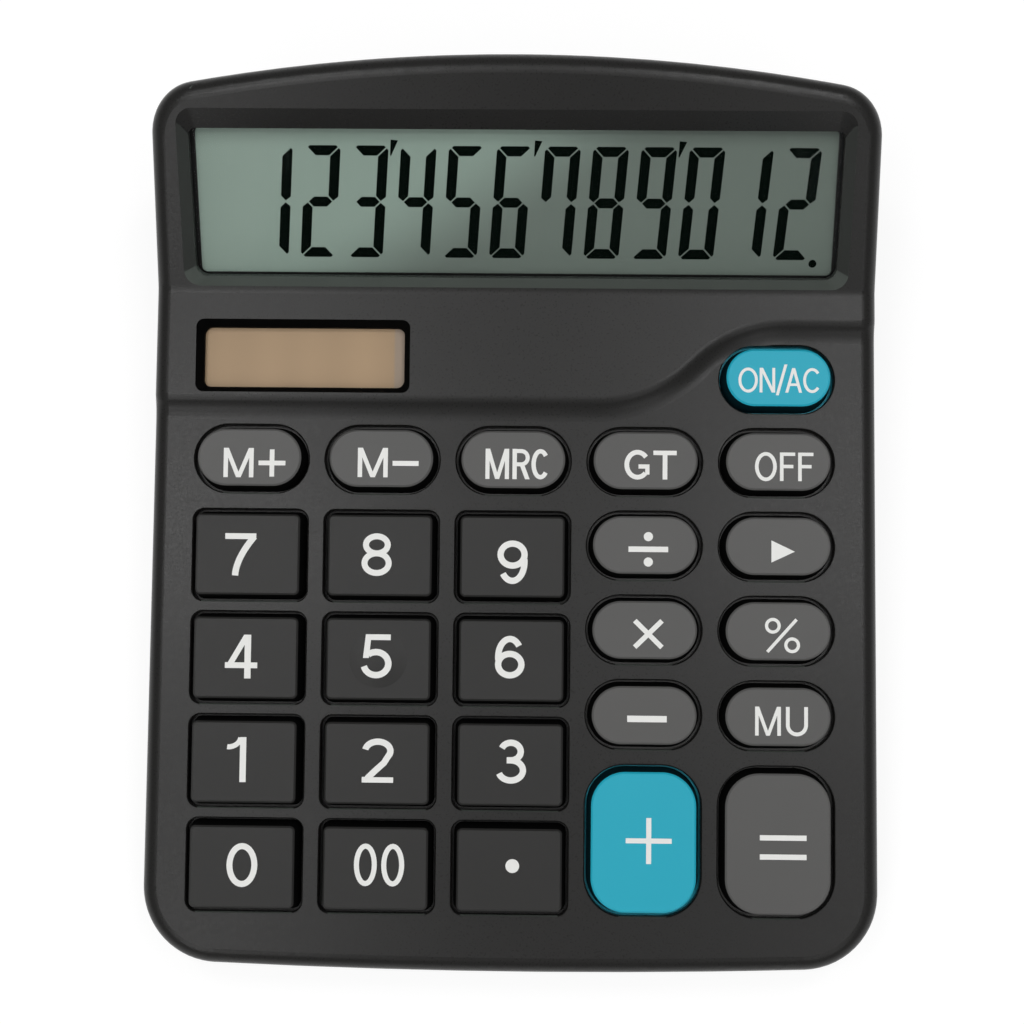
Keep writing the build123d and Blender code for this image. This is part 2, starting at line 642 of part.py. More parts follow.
def make_key(kind, home):
    """Key cap: drafted skirt, retaining flange, hollow underside and a cross stem over its dome."""
    base = at_height(key_outline(kind, -KEY_CLEARANCE), flange_top)
    cap = extrude(base, KEY_PROUD - flange_top, taper=KEY_DRAFT)
    cap = chamfer(cap.faces().sort_by(Axis.Z)[-1].edges(), KEY_EDGE)
    cap += extrude(at_height(key_outline(kind, flange_lap), flange_bottom), FLANGE_THICKNESS)
    hollow = KEY_PROUD - KEY_CROWN
    narrow = (hollow - flange_top) * tan(radians(KEY_DRAFT))
    inner = key_outline(kind, -KEY_CLEARANCE - KEY_WALL - narrow)
    cap -= extrude(at_height(inner, flange_bottom), hollow - flange_bottom)
    stem = Rectangle(STEM_WIDTH, STEM_RIB) + Rectangle(STEM_RIB, STEM_WIDTH)
    cap += extrude(at_height(stem, stem_bottom), hollow + KEY_CROWN / 2 - stem_bottom)
    if home:
        cap += Pos(0, 0, KEY_PROUD) * home_dome()
    return cap


def home_dome():
    """Low round dome that marks the middle key by touch."""
    arc = ThreePointArc((-HOME_DOME_RADIUS, 0), (0, HOME_DOME_RISE), (HOME_DOME_RADIUS, 0))
    face = make_face(Curve() + [arc, Line(arc @ 1, arc @ 0)])
    half = face & Rectangle(HOME_DOME_RADIUS, 2 * HOME_DOME_RISE, align=(Align.MIN, Align.CENTER))
    return revolve(Plane.XZ * half, Axis.Z)


def make_key_mat():
    """Silicone sheet on the circuit board with a dome under every key."""
    half = -keys_left + flange_lap
    front = FRONT_MARGIN
    rear = memory_row + DOME_BASE_RADIUS + BOARD_POST_SPACE
    across, along = key_place("oval", COLUMNS - 1, OVAL_ROWS + 1)
    tab_half = DOME_BASE_RADIUS + MAT_THICKNESS
    sheet = Pos(0, (front + rear) / 2) * Rectangle(2 * half, rear - front)
    tab_end = along + tab_half
    tab_start = rear - tab_half
    sheet += Pos(across, (tab_start + tab_end) / 2) * Rectangle(2 * tab_half, tab_end - tab_start)
    sheet -= [Pos(*place) * Circle(BOARD_POST_RADIUS + BOARD_POST_SPACE) for place in board_posts()]
    mat = extrude(at_height(sheet, board_top), MAT_THICKNESS)
    rise = dome_top - mat_top
    dome = Cone(DOME_BASE_RADIUS, DOME_TOP_RADIUS, rise, align=(Align.CENTER, Align.CENTER, Align.MIN))
    mat += [Pos(*key_place(kind, column, row), mat_top) * dome for _, kind, column, row in KEYS]
    return deck * mat


def board_rear():
    """Rear edge of the circuit board, up the slope of the deck."""
    return memory_row + oval_pitch + DOME_BASE_RADIUS + BOARD_REAR_SPACE


def make_circuit_board():
    """Single-sided board with rounded front corners, screw holes and notches for two case screws."""
    half = case_width / 2 - WALL - BOARD_SIDE_GAP
    rear = board_rear()
    face = Pos(0, (BOARD_FRONT + rear) / 2) * Rectangle(2 * half, rear - BOARD_FRONT)
    face = fillet(face.vertices().sort_by(Axis.Y)[:2], FRONT_CORNER - WALL - LIP_WALL)
    notch = SCREW_HEAD_RADIUS + SCREW_HOLE_CLEARANCE + WELL_WALL + BOARD_POST_SPACE
    notch_along = (BOSS_FRONT_INSET + board_bottom * deck_sin) / deck_cos
    face -= [Pos(side * BOSS_FRONT_X, notch_along) * Circle(notch) for side in (-1, 1)]
    face -= [Pos(*place) * Circle(SMALL_SCREW_RADIUS + SCREW_HOLE_CLEARANCE) for place in board_posts()]
    return deck * extrude(at_height(face, board_bottom), BOARD_THICKNESS)


def make_chip():
    """Epoxy blob over the bare chip, on the underside of the board."""
    arc = ThreePointArc((-CHIP_RADIUS, 0), (0, -CHIP_RISE), (CHIP_RADIUS, 0))
    face = make_face(Curve() + [arc, Line(arc @ 1, arc @ 0)])
    half = face & Rectangle(CHIP_RADIUS, 2 * CHIP_RISE, align=(Align.MIN, Align.CENTER))
    place = deck * Pos(*key_place("digit", 2, 2), board_bottom)
    return place * revolve(Plane.XZ * half, Axis.Z)


def make_capacitor():
    """Buffer capacitor for the solar cell, lying under the board."""
    can = Cylinder(CAPACITOR_RADIUS, CAPACITOR_LENGTH, rotation=(0, 90, 0))
    can = chamfer(can.edges().filter_by(GeomType.CIRCLE), CAPACITOR_EDGE)
    across, along = key_place("oval", 1, OVAL_ROWS)
    return deck * Pos(across, along, board_bottom - CAPACITOR_RADIUS) * can


def make_display_lens():
    """Clear cover behind the display opening."""
    half = case_width / 2 - BEZEL_TOP_SIDE + LENS_SIDE_LAP
    return head_slab(half, BEZEL_LIP - LENS_END_LAP, display_top + LENS_END_LAP, frame_back, lens_back)


def make_lcd_front_glass():
    """Front glass of the liquid crystal cell."""
    return head_slab(glass_half, glass_foot, glass_top, cell_front, cell_middle)


def make_lcd_rear_glass():
    """Rear glass of the cell, longer at its foot to leave a ledge for the ribbon."""
    return head_slab(glass_half, ledge_foot, glass_top, cell_middle, cell_back)


def make_lcd_reflector():
    """Reflector sheet behind the cell."""
    return head_slab(glass_half, glass_foot, glass_top, cell_back, holder_front)


def make_lcd_holder():
    """Moulded plate that clamps the cell and its lens to the display head, with four screw ears."""
    face = head_rectangle(glass_half, ledge_foot, glass_top)
    for across, along in holder_posts():
        inward = ledge_foot if along < 0 else glass_top
        face += Pos(across, (along + inward) / 2) * Rectangle(HOLDER_EAR, abs(along - inward))
        face += Pos(across, along) * Circle(HOLDER_EAR / 2)
    face -= [Pos(*place) * Circle(SMALL_SCREW_RADIUS + SCREW_HOLE_CLEARANCE) for place in holder_posts()]
    return extrude(head.offset(holder_back) * face, HOLDER_THICKNESS)


def make_lcd_ribbon():
    """Heat-seal ribbon from the ledge of the rear glass to the rear edge of the circuit board."""
    middle = RIBBON_THICKNESS / 2
    start = head.from_local_coords(Vector(0, glass_foot, cell_middle + middle))
    turn = head.from_local_coords(Vector(0, ledge_foot - GLASS_LEDGE, cell_middle + middle))
    landing = deck.from_local_coords(Vector(0, board_rear() + RIBBON_BOND / 2, board_top + middle))
    end = deck.from_local_coords(Vector(0, board_rear() - RIBBON_BOND, board_top + middle))
    route = FilletPolyline(*[(point.Y, point.Z) for point in (start, turn, landing, end)], radius=RIBBON_BEND)
    return extrude(Plane.YZ * trace(route, RIBBON_THICKNESS), RIBBON_WIDTH / 2, both=True)


def make_solar_window():
    """Clear insert in the solar opening, just over the cell."""
    face = solar_outline(SOLAR_BEVEL + SOLAR_WINDOW_CLEARANCE)
    back = -PLATFORM_RISE - DECK_WALL + SOLAR_WINDOW_SPACE
    return solar_place() * extrude(at_height(face, back), SOLAR_WINDOW_THICKNESS)


def make_solar_cell():
    """Amorphous silicon cell on glass, glued under the platform."""
    face = Rectangle(SOLAR_WIDTH + 2 * CELL_LAP, SOLAR_HEIGHT + 2 * CELL_LAP)
    back = -PLATFORM_RISE - DECK_WALL - CELL_THICKNESS
    return solar_place() * extrude(at_height(face, back), CELL_THICKNESS)


def make_solar_leads():
    """Two short leads from the underside of the solar cell straight down to the circuit board."""
    cell_underside = -DECK_WALL - CELL_THICKNESS
    middle = keys_left + SOLAR_WIDTH / 2
    along = platform_front + SOLAR_GAP + SOLAR_LEAD_INSET
    lead = Cylinder(LEAD_RADIUS, cell_underside - board_top, align=(Align.CENTER, Align.CENTER, Align.MIN))
    places = [Pos(middle + side * SOLAR_LEAD_SPACING / 2, along, board_top) for side in (-1, 1)]
    return Compound([deck * place * lead for place in places])


def make_battery_cell():
    """AA cell lying across the case with its nub against the plus contact."""
    body = Cylinder(CELL_RADIUS, CELL_LENGTH - NUB_LENGTH, align=(Align.CENTER, Align.CENTER, Align.MAX))
    body = chamfer(body.edges().filter_by(GeomType.CIRCLE), CELL_SPACE)
    body += Cylinder(NUB_RADIUS, NUB_LENGTH, align=(Align.CENTER, Align.CENTER, Align.MIN))
    return Pos(plus_face - NUB_LENGTH, cell_y, cell_z) * Rot(0, 90, 0) * body


def make_battery_plus():
    """Flat plus contact against the end wall of the compartment, with its tail."""
    plate = RectangleRounded(CONTACT_WIDTH, CONTACT_WIDTH, CONTACT_CORNER)
    contact = Pos(plus_face, cell_y, cell_z) * extrude(Plane.YZ * plate, CONTACT_THICKNESS)
    return contact + contact_tail(1, 0)


def make_battery_minus():
    """Leaf spring for the minus end, bent from one strip against the other end wall, with its tail."""
    wall = -tunnel_half + CONTACT_SPACE + CONTACT_THICKNESS / 2
    tip = plus_face - CELL_LENGTH - CONTACT_THICKNESS / 2
    reach = CONTACT_WIDTH / 2
    flat = SPRING_TIP / 2
    points = [(wall, -reach), (wall, reach), (tip, flat), (tip, -flat), ((wall + tip) / 2, -reach)]
    strip = trace(FilletPolyline(*points, radius=CONTACT_THICKNESS), CONTACT_THICKNESS)
    return Pos(0, cell_y, cell_z) * extrude(strip, SPRING_WIDTH / 2, both=True) + contact_tail(-1, 0)


def make_battery_leads():
    """Two leads from the contacts' tails to the underside of the circuit board."""
    leads = []
    for side in (-1, 1):
        across = side * (lead_start + LEAD_RUN)
        along = board_rear() - LEAD_INSET
        landing = deck.from_local_coords(Vector(across, along, board_bottom))
        under = deck.from_local_coords(Vector(across, along, board_bottom - LEAD_RUN))
        points = [(side * lead_start, cell_y, cell_z), (across, cell_y, cell_z), under, landing]
        route = FilletPolyline(*points, radius=LEAD_BEND)
        leads.append(sweep(Plane(route @ 0, z_dir=route % 0) * Circle(LEAD_RADIUS), path=route))
    return Compound(leads)


def screw(radius, bite, head_radius, head_height):
    """Pan-head screw pointing up, with its head under the origin."""
    shank = Cylinder(radius, bite, align=(Align.CENTER, Align.CENTER, Align.MIN))
    pan = Cylinder(head_radius, head_height, align=(Align.CENTER, Align.CENTER, Align.MAX))
    return shank + chamfer(pan.faces().sort_by(Axis.Z)[0].edges(), SCREW_EDGE)


def make_case_screws():
    """Screws from the wells of the bottom case into the bosses of the top case."""
    one = screw(SCREW_RADIUS, WELL_ROOF + SCREW_BITE - BOSS_GAP, SCREW_HEAD_RADIUS, SCREW_HEAD_HEIGHT)
    return Compound([Pos(*place, well_roof - WELL_ROOF) * one for place in case_screws + rear_bosses()])


def make_board_screws():
    """Screws through the circuit board into the deck's posts."""
    length = BOARD_THICKNESS + SMALL_SCREW_BITE - BOSS_GAP
    one = screw(SMALL_SCREW_RADIUS, length, SMALL_HEAD_RADIUS, SMALL_HEAD_HEIGHT)
    return Compound([deck * Pos(*place, board_bottom) * one for place in board_posts()])


def make_holder_screws():
    """Screws through the display holder's ears into the head's posts."""
    length = HOLDER_THICKNESS + SMALL_SCREW_BITE - BOSS_GAP
    one = screw(SMALL_SCREW_RADIUS, length, SMALL_HEAD_RADIUS, SMALL_HEAD_HEIGHT)
    return Compound([head * Pos(*place, holder_back) * one for place in holder_posts()])


def make_rubber_feet():
    """Four round pads in recesses of the base."""
    height = FOOT_PROUD + FOOT_RECESS
    pad = Cylinder(FOOT_RADIUS - LIP_CLEARANCE, height, align=(Align.CENTER, Align.CENTER, Align.MIN))
    pad = chamfer(pad.faces().sort_by(Axis.Z)[0].edges(), FOOT_EDGE)
    return Compound([Pos(*place) * pad for place in foot_places()])


parts = {
    "top_case": make_top_case(),
    "bottom_case": make_bottom_case(),
    "battery_door": make_battery_door(),
    "key_mat": make_key_mat(),
    "circuit_board": make_circuit_board(),
    "chip_blob": make_chip(),
    "capacitor": make_capacitor(),
    "display_lens": make_display_lens(),
    "lcd_front_glass": make_lcd_front_glass(),
    "lcd_rear_glass": make_lcd_rear_glass(),
    "lcd_reflector": make_lcd_reflector(),
    "lcd_holder": make_lcd_holder(),
    "lcd_ribbon": make_lcd_ribbon(),
    "solar_window": make_solar_window(),
    "solar_cell": make_solar_cell(),
    "solar_leads": make_solar_leads(),
    "battery_cell": make_battery_cell(),
    "battery_plus_contact": make_battery_plus(),
    "battery_minus_spring": make_battery_minus(),
    "battery_leads": make_battery_leads(),
    "case_screws": make_case_screws(),
    "board_screws": make_board_screws(),
    "holder_screws": make_holder_screws(),
    "rubber_feet": make_rubber_feet(),
}
for name, kind, column, row in KEYS:
    parts[name] = deck * Pos(*key_place(kind, column, row), 0) * make_key(kind, name == "key_5")

os.makedirs("parts", exist_ok=True)
for name, shape in parts.items():
    export_step(shape, f"parts/{name}.step")
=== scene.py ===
"""Looks of a twelve-digit desk calculator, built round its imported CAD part. Metres, in the part's own frame."""

import json
import math

import bmesh
import bpy
from mathutils import Matrix, Vector
from mathutils.bvhtree import BVHTree
from mathutils.geometry import delaunay_2d_cdt


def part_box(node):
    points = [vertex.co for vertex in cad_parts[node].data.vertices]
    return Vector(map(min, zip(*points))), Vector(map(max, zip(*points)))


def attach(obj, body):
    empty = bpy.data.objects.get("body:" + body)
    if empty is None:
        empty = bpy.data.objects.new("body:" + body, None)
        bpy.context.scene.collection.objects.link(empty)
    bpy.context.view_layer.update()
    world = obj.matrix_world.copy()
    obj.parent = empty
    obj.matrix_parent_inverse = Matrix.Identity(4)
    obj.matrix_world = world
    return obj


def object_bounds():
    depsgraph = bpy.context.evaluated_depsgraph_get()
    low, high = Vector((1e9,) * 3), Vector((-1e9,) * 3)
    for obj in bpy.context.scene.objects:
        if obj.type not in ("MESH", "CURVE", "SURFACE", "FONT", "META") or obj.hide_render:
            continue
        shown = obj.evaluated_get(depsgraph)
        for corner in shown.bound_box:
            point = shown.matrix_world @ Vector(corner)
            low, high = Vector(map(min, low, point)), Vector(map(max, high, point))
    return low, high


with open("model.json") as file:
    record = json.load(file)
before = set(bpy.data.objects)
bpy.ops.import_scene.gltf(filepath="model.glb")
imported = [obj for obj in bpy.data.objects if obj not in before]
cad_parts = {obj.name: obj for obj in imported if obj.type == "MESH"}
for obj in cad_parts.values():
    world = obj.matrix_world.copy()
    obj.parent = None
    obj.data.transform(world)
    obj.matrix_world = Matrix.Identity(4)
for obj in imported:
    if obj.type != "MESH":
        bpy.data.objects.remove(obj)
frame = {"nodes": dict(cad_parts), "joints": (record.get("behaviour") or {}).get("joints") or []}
nodes = frame["nodes"]
cad_box = [list(corner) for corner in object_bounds()]
MM = 0.001

# Top case
# The upper half of the housing, injection moulded in black ABS against a spark-eroded tool, so it is matt
# with a fine grain. Every other piece is fixed inside it.
CASE_COLOUR = "#161615"
CASE_CLOUD_COLOUR = "#1c1b1a"
CASE_ROUGHNESS = (0.26, 0.34)
CASE_GRAIN_MM = 0.35
CASE_GRAIN_DEPTH_MM = 0.006
CLOUD_MM = 22.0
ABS_IOR = 1.53
GRAIN_GLOSS = 0.25
GRAIN_SPREAD = (0.3, 0.7)
SOLAR_FRAME_MM = 1.15
SOLAR_BEVEL_SLOPE = 0.8
LIP_FACING = Vector((0, 0.554, 0.833))
LIP_MATCH = 0.99
LIP_HALF_WIDTH_MM = 54.0
POCKET_END_MM = (50.0, 57.5)
POCKET_DEPTH_MM = (1.4, 4.2)
POCKET_LEAN = (0.3, 0.9)
CORNER_LEAN = 0.15
BEVEL_PAINT_ROUGHNESS = (0.35, 0.45)
HEAD_TILT = math.radians(29.5)


def linear(colour):
    """An sRGB hex colour as linear red, green, blue and alpha."""
    shares = [int(colour[i:i + 2], 16) / 255 for i in (1, 3, 5)]
    return [s / 12.92 if s <= 0.04045 else ((s + 0.055) / 1.055) ** 2.4 for s in shares] + [1.0]


def add(tree, kind, inputs=None, **settings):
    """Adds a node. An input given an output socket is linked to it, and any other value is set."""
    made = tree.nodes.new("ShaderNode" + kind)
    for name, value in settings.items():
        setattr(made, name, value)
    for name, value in (inputs or {}).items():
        if isinstance(value, bpy.types.NodeSocket):
            tree.links.new(value, made.inputs[name])
        else:
            made.inputs[name].default_value = value
    return made


def blank_material(name):
    """A material with nothing but its output node, and its node tree."""
    material = bpy.data.materials.new(name)
    material.use_nodes = True
    material.node_tree.nodes.clear()
    return material, material.node_tree


def show(tree, shader):
    add(tree, "OutputMaterial", {"Surface": shader.outputs[0]})


def moulded_plastic(name, colour, cloud_colour, roughness, grain_mm, depth_mm, ior=ABS_IOR):
    """Moulded plastic: slow clouds in the colour, the tool's grain as bump, and gloss that varies with the grain.
    """
    material, tree = blank_material(name)
    place = add(tree, "TexCoord").outputs["Object"]
    cloud = add(tree, "TexNoise", {"Vector": place, "Scale": 1 / (CLOUD_MM * MM), "Detail": 3.0})
    tone = add(tree, "Mix", {"Factor": cloud.outputs["Fac"], "A": linear(colour), "B": linear(cloud_colour)},
               data_type="RGBA")
    grain = add(tree, "TexNoise", {"Vector": place, "Scale": 1 / (grain_mm * MM), "Detail": 2.0})
    gloss = add(tree, "MapRange", {"Value": grain.outputs["Fac"], "From Min": GRAIN_SPREAD[0],
                                   "From Max": GRAIN_SPREAD[1], "To Min": roughness[0], "To Max": roughness[1]})
    bump = add(tree, "Bump", {"Height": grain.outputs["Fac"], "Distance": depth_mm * MM})
    show(tree, add(tree, "BsdfPrincipled", {
        "Base Color": tone.outputs["Result"], "Roughness": gloss.outputs["Result"], "IOR": ior,
        "Specular IOR Level": GRAIN_GLOSS, "Normal": bump.outputs["Normal"]}))
    return material


def dress(material, *names):
    """Gives CAD nodes their finish."""
    for name in names:
        nodes[name].data.materials.clear()
        nodes[name].data.materials.append(material)


def extra_finish(name, material):
    """Gives a CAD node one more finish, for some of its faces, and returns its number."""
    nodes[name].data.materials.append(material)
    return len(nodes[name].data.materials) - 1


# Black ABS off a spark-eroded tool: a satin black that greys where it faces the light. The real grain is
# about 0.1 mm wide, and it is drawn at 0.35 mm so that it shows.
dress(moulded_plastic("black_abs_spark_grain", CASE_COLOUR, CASE_CLOUD_COLOUR, CASE_ROUGHNESS,
                      CASE_GRAIN_MM, CASE_GRAIN_DEPTH_MM), "top_case")
# Painted shade on the steep faces of the solar opening's bevel: a dead matt black, so that it frames the cell in
# black.
painted_bevel_shade = extra_finish("top_case", moulded_plastic(
    "matt_black_painted_bevel_shade", "#060606", "#0a0a0a", (0.7, 0.8), 0.3, 0.003, ior=1.1))
# The same ABS, with painted light on the bevel around the display: a paler grey along the low edge and at its
# corners, and a dark grey, still paler than the case, at the two ends.
lip_painted_light = extra_finish("top_case", moulded_plastic(
    "lip_painted_light_abs", "#484d49", "#4d524e", BEVEL_PAINT_ROUGHNESS, CASE_GRAIN_MM, CASE_GRAIN_DEPTH_MM))
end_painted_light = extra_finish("top_case", moulded_plastic(
    "end_painted_light_abs", "#323432", "#363836", BEVEL_PAINT_ROUGHNESS, CASE_GRAIN_MM, CASE_GRAIN_DEPTH_MM))

head_normal = Vector((0, -math.sin(HEAD_TILT), math.cos(HEAD_TILT)))
head_up = Vector((0, math.cos(HEAD_TILT), math.sin(HEAD_TILT)))
lens_level = max(v.co.dot(head_normal) for v in nodes["display_lens"].data.vertices)
lens_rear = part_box("display_lens")[1].y
window_low, window_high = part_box("solar_window")
for face in nodes["top_case"].data.polygons:
    sideways = abs(face.center.x) / MM
    depth = (face.center.dot(head_normal) - lens_level) / MM
    lean, climb = face.normal.dot(head_normal), face.normal.dot(head_up)
    at_window = all(window_low[i] - SOLAR_FRAME_MM * MM < face.center[i] < window_high[i] + SOLAR_FRAME_MM * MM
                    for i in (0, 1))
    at_low_edge = (face.normal.dot(LIP_FACING) > LIP_MATCH and face.center.y < lens_rear
                   and sideways < LIP_HALF_WIDTH_MM)
    at_end = (POCKET_END_MM[0] < sideways < POCKET_END_MM[1] and POCKET_DEPTH_MM[0] < depth < POCKET_DEPTH_MM[1]
              and POCKET_LEAN[0] < lean < POCKET_LEAN[1] and face.normal.x * face.center.x < 0)
    # Painted shade: the steep faces round the solar window take the dead black finish.
    if at_window and abs(face.normal.z) < SOLAR_BEVEL_SLOPE:
        face.material_index = painted_bevel_shade
    # Painted light: the low edge of the display bevel and its corners go paler grey, and its two ends a dark grey
    # that is still paler than the case.
    elif at_low_edge or (at_end and climb > CORNER_LEAN):
        face.material_index = lip_painted_light
    elif at_end and climb > -CORNER_LEAN:
        face.material_index = end_painted_light

# Solar cell
# A strip of amorphous silicon on glass under a bevelled acrylic window that is glued into the platform, with
# two insulated leads soldered to its back.
CELL_COLOUR = "#a99073"
CELL_EDGE_COLOUR = "#9c8c7c"
CELL_STRIP_MM = 7.0
CELL_SHADES = (0.9, 1.1)
BARE_STRIP_MM = (1.8, 1.5)
CELL_ROUGHNESS = 0.28
GLASS_IOR = 1.52
FILM_GLOSS = 0.1
COAT_IOR = 1.1
ACRYLIC_TINT = "#fefefe"
POLISH_ROUGHNESS = 0.04


def clear_sheet(name, tint, ior, roughness):
    """A clear polished sheet: it lets light straight through and mirrors a little from its front."""
    material, tree = blank_material(name)
    mirror = add(tree, "Fresnel", {"IOR": ior})
    behind = add(tree, "NewGeometry").outputs["Backfacing"]
    share = add(tree, "Mix", {"Factor": behind, "A": mirror.outputs["Fac"], "B": 0.0}, data_type="FLOAT")
    through = add(tree, "BsdfTransparent", {"Color": linear(tint)})
    shine = add(tree, "BsdfAnisotropic", {"Roughness": roughness})
    show(tree, add(tree, "MixShader", {0: share.outputs[0], 1: through.outputs[0], 2: shine.outputs[0]}))
    return material


# Acrylic with an anti-glare coat: water clear, with only a trace of the room in it.
acrylic = clear_sheet("coated_acrylic", ACRYLIC_TINT, COAT_IOR, POLISH_ROUGHNESS)
dress(acrylic, "solar_window")

# Amorphous silicon on glass: an even tan film, cut by laser into strips that differ a shade, and a greyer
# bare strip at the right-hand end.
cell, tree = blank_material("amorphous_silicon_film")
place = add(tree, "TexCoord").outputs["Object"]
across = add(tree, "SeparateXYZ", {"Vector": place}).outputs["X"]
strip = add(tree, "TexNoise", {"W": across, "Scale": 1 / (CELL_STRIP_MM * MM), "Detail": 0.0},
            noise_dimensions="1D")
tan = add(tree, "HueSaturation", {"Color": linear(CELL_COLOUR)})
shade = add(tree, "MapRange", {"Value": strip.outputs["Fac"], "To Min": CELL_SHADES[0], "To Max": CELL_SHADES[1]})
tree.links.new(shade.outputs["Result"], tan.inputs["Value"])
bare = add(tree, "MapRange", {"Value": across, "From Min": window_high.x - BARE_STRIP_MM[0] * MM,
                              "From Max": window_high.x - BARE_STRIP_MM[1] * MM})
tone = add(tree, "Mix", {"Factor": bare.outputs["Result"], "A": tan.outputs["Color"],
                         "B": linear(CELL_EDGE_COLOUR)}, data_type="RGBA")
show(tree, add(tree, "BsdfPrincipled", {"Base Color": tone.outputs["Result"], "Roughness": CELL_ROUGHNESS,
                                        "IOR": GLASS_IOR, "Specular IOR Level": FILM_GLOSS}))
dress(cell, "solar_cell")

# PVC-covered wire: bright and smooth from the extruder, with a faint unevenness of colour.
dress(moulded_plastic("red_pvc_lead", "#a01812", "#8c1410", (0.3, 0.42), 0.4, 0.004), "solar_leads",
      "battery_leads")

# Display lens
# A flat acrylic plate laid behind the bevelled frame of the head, screen printed on its back with a black
# border that hides the edges of the glass.
WINDOW_HALF_WIDTH_MM = 51.75
WINDOW_HEIGHT_MM = 23.75
WINDOW_CORNER_MM = 0.9
PRINT_MM = 0.02
PRINT_INSET_MM = 0.3
JOIN_MM = 1e-5
FLAT_ANGLE = 0.001


def plane_frame(node, normal, up):
    """The frame on the front face of a flat CAD node: its middle as origin, with X right and Y up the slope."""
    corners = [v.co for v in nodes[node].data.vertices]
    reach = [(min(c.dot(axis) for c in corners), max(c.dot(axis) for c in corners))
             for axis in (Vector((1, 0, 0)), up, normal)]
    middle = (Vector((1, 0, 0)) * sum(reach[0]) + up * sum(reach[1])) / 2 + normal * reach[2][1]
    return Matrix.Translation(middle) @ Matrix((Vector((1, 0, 0)), up, normal)).transposed().to_4x4(), reach


def printed_film(name, polygons, place, film_mm, material, body, sink_mm=0.0, steps=0, settle=None):
    """A thin closed film that covers all the polygons, which are in millimetres and may overlap. With steps,
    it is first cut into that many slices each way, and settle moves each point to the surface below it."""
    points, rings = [], []
    for polygon in polygons:
        turn = sum(a[0] * b[1] - b[0] * a[1] for a, b in zip(polygon, polygon[1:] + polygon[:1]))
        ring = polygon if turn > 0 else polygon[::-1]
        rings.append(list(range(len(points), len(points) + len(ring))))
        points += [Vector(p) for p in ring]
    flat, _, faces, _, _, owners = delaunay_2d_cdt(points, [], rings, 1, JOIN_MM)
    mesh = bmesh.new()
    corners = [mesh.verts.new((p.x * MM, p.y * MM, 0)) for p in flat]
    for face, owner in zip(faces, owners):
        if owner:
            mesh.faces.new([corners[i] for i in face])
    bmesh.ops.delete(mesh, geom=[v for v in mesh.verts if not v.link_faces], context="VERTS")
    bmesh.ops.dissolve_limit(mesh, angle_limit=FLAT_ANGLE, verts=mesh.verts, edges=mesh.edges)
    if steps:
        low = [min(v.co[i] for v in mesh.verts) for i in (0, 1)]
        high = [max(v.co[i] for v in mesh.verts) for i in (0, 1)]
        for axis in (0, 1):
            for step in range(1, steps):
                cut = Vector((0, 0, 0))
                cut[axis] = low[axis] + (high[axis] - low[axis]) * step / steps
                side = Vector((0, 0, 0))
                side[axis] = 1
                bmesh.ops.bisect_plane(mesh, geom=mesh.verts[:] + mesh.edges[:] + mesh.faces[:],
                                       plane_co=cut, plane_no=side)
    bmesh.ops.recalc_face_normals(mesh, faces=mesh.faces)
    if mesh.faces[:] and mesh.faces[:][0].normal.z < 0:
        bmesh.ops.reverse_faces(mesh, faces=mesh.faces)
    for v in mesh.verts:
        height = settle(place @ v.co) if settle else 0.0
        v.co.z = height - sink_mm * MM
    lifted = bmesh.ops.extrude_face_region(mesh, geom=mesh.faces[:])
    for v in lifted["geom"]:
        if isinstance(v, bmesh.types.BMVert):
            v.co.z += (film_mm + sink_mm) * MM
    bmesh.ops.recalc_face_normals(mesh, faces=mesh.faces)
    data = bpy.data.meshes.new(name)
    mesh.to_mesh(data)
    mesh.free()
    data.transform(place)
    data.materials.append(material)
    film = bpy.data.objects.new(name, data)
    bpy.context.scene.collection.objects.link(film)
    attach(film, body)


def arc(x, y, rx, ry, start, end, points=24):
    """Points along part of an ellipse, from one angle to another in degrees."""
    turns = [math.radians(start + (end - start) * i / points) for i in range(points + 1)]
    return [(x + rx * math.cos(t), y + ry * math.sin(t)) for t in turns]


def oval(x, y, rx, ry, points=24):
    """Points all round an ellipse."""
    return arc(x, y, rx, ry, 0, 360 - 360 / points, points - 1)


def rounded_ring(half_width, low, high, corner):
    """A rectangle with round corners, as a list of points."""
    points = []
    for x, y, start in ((half_width - corner, high - corner, 0), (corner - half_width, high - corner, 90),
                        (corner - half_width, low + corner, 180), (half_width - corner, low + corner, 270)):
        points += arc(x, y, corner, corner, start, start + 90, points=6)
    return points


def bands(outer, inner):
    """The space between two rings of as many points each, as four-sided pieces."""
    return [[outer[i], outer[i - 1], inner[i - 1], inner[i]] for i in range(len(outer))]


# Screen printing ink: dense black with a slight sheen, seen through the lens.
border_ink = moulded_plastic("black_screen_ink", "#050605", "#080908", (0.35, 0.45), 0.3, 0.002)
dress(acrylic, "display_lens")
lens_place, lens_reach = plane_frame("display_lens", head_normal, head_up)
lens_half_width = (lens_reach[0][1] - lens_reach[0][0]) / 2 / MM
lens_half_height = (lens_reach[1][1] - lens_reach[1][0]) / 2 / MM
lens_back = lens_place @ Matrix.Translation((0, 0, lens_reach[2][0] - lens_reach[2][1]))
printed_film("display_border", bands(
    rounded_ring(lens_half_width - PRINT_INSET_MM, PRINT_INSET_MM - lens_half_height,
                 lens_half_height - PRINT_INSET_MM, WINDOW_CORNER_MM),
    rounded_ring(WINDOW_HALF_WIDTH_MM, -WINDOW_HEIGHT_MM / 2, WINDOW_HEIGHT_MM / 2, WINDOW_CORNER_MM)),
    lens_back, PRINT_MM, border_ink, "case")

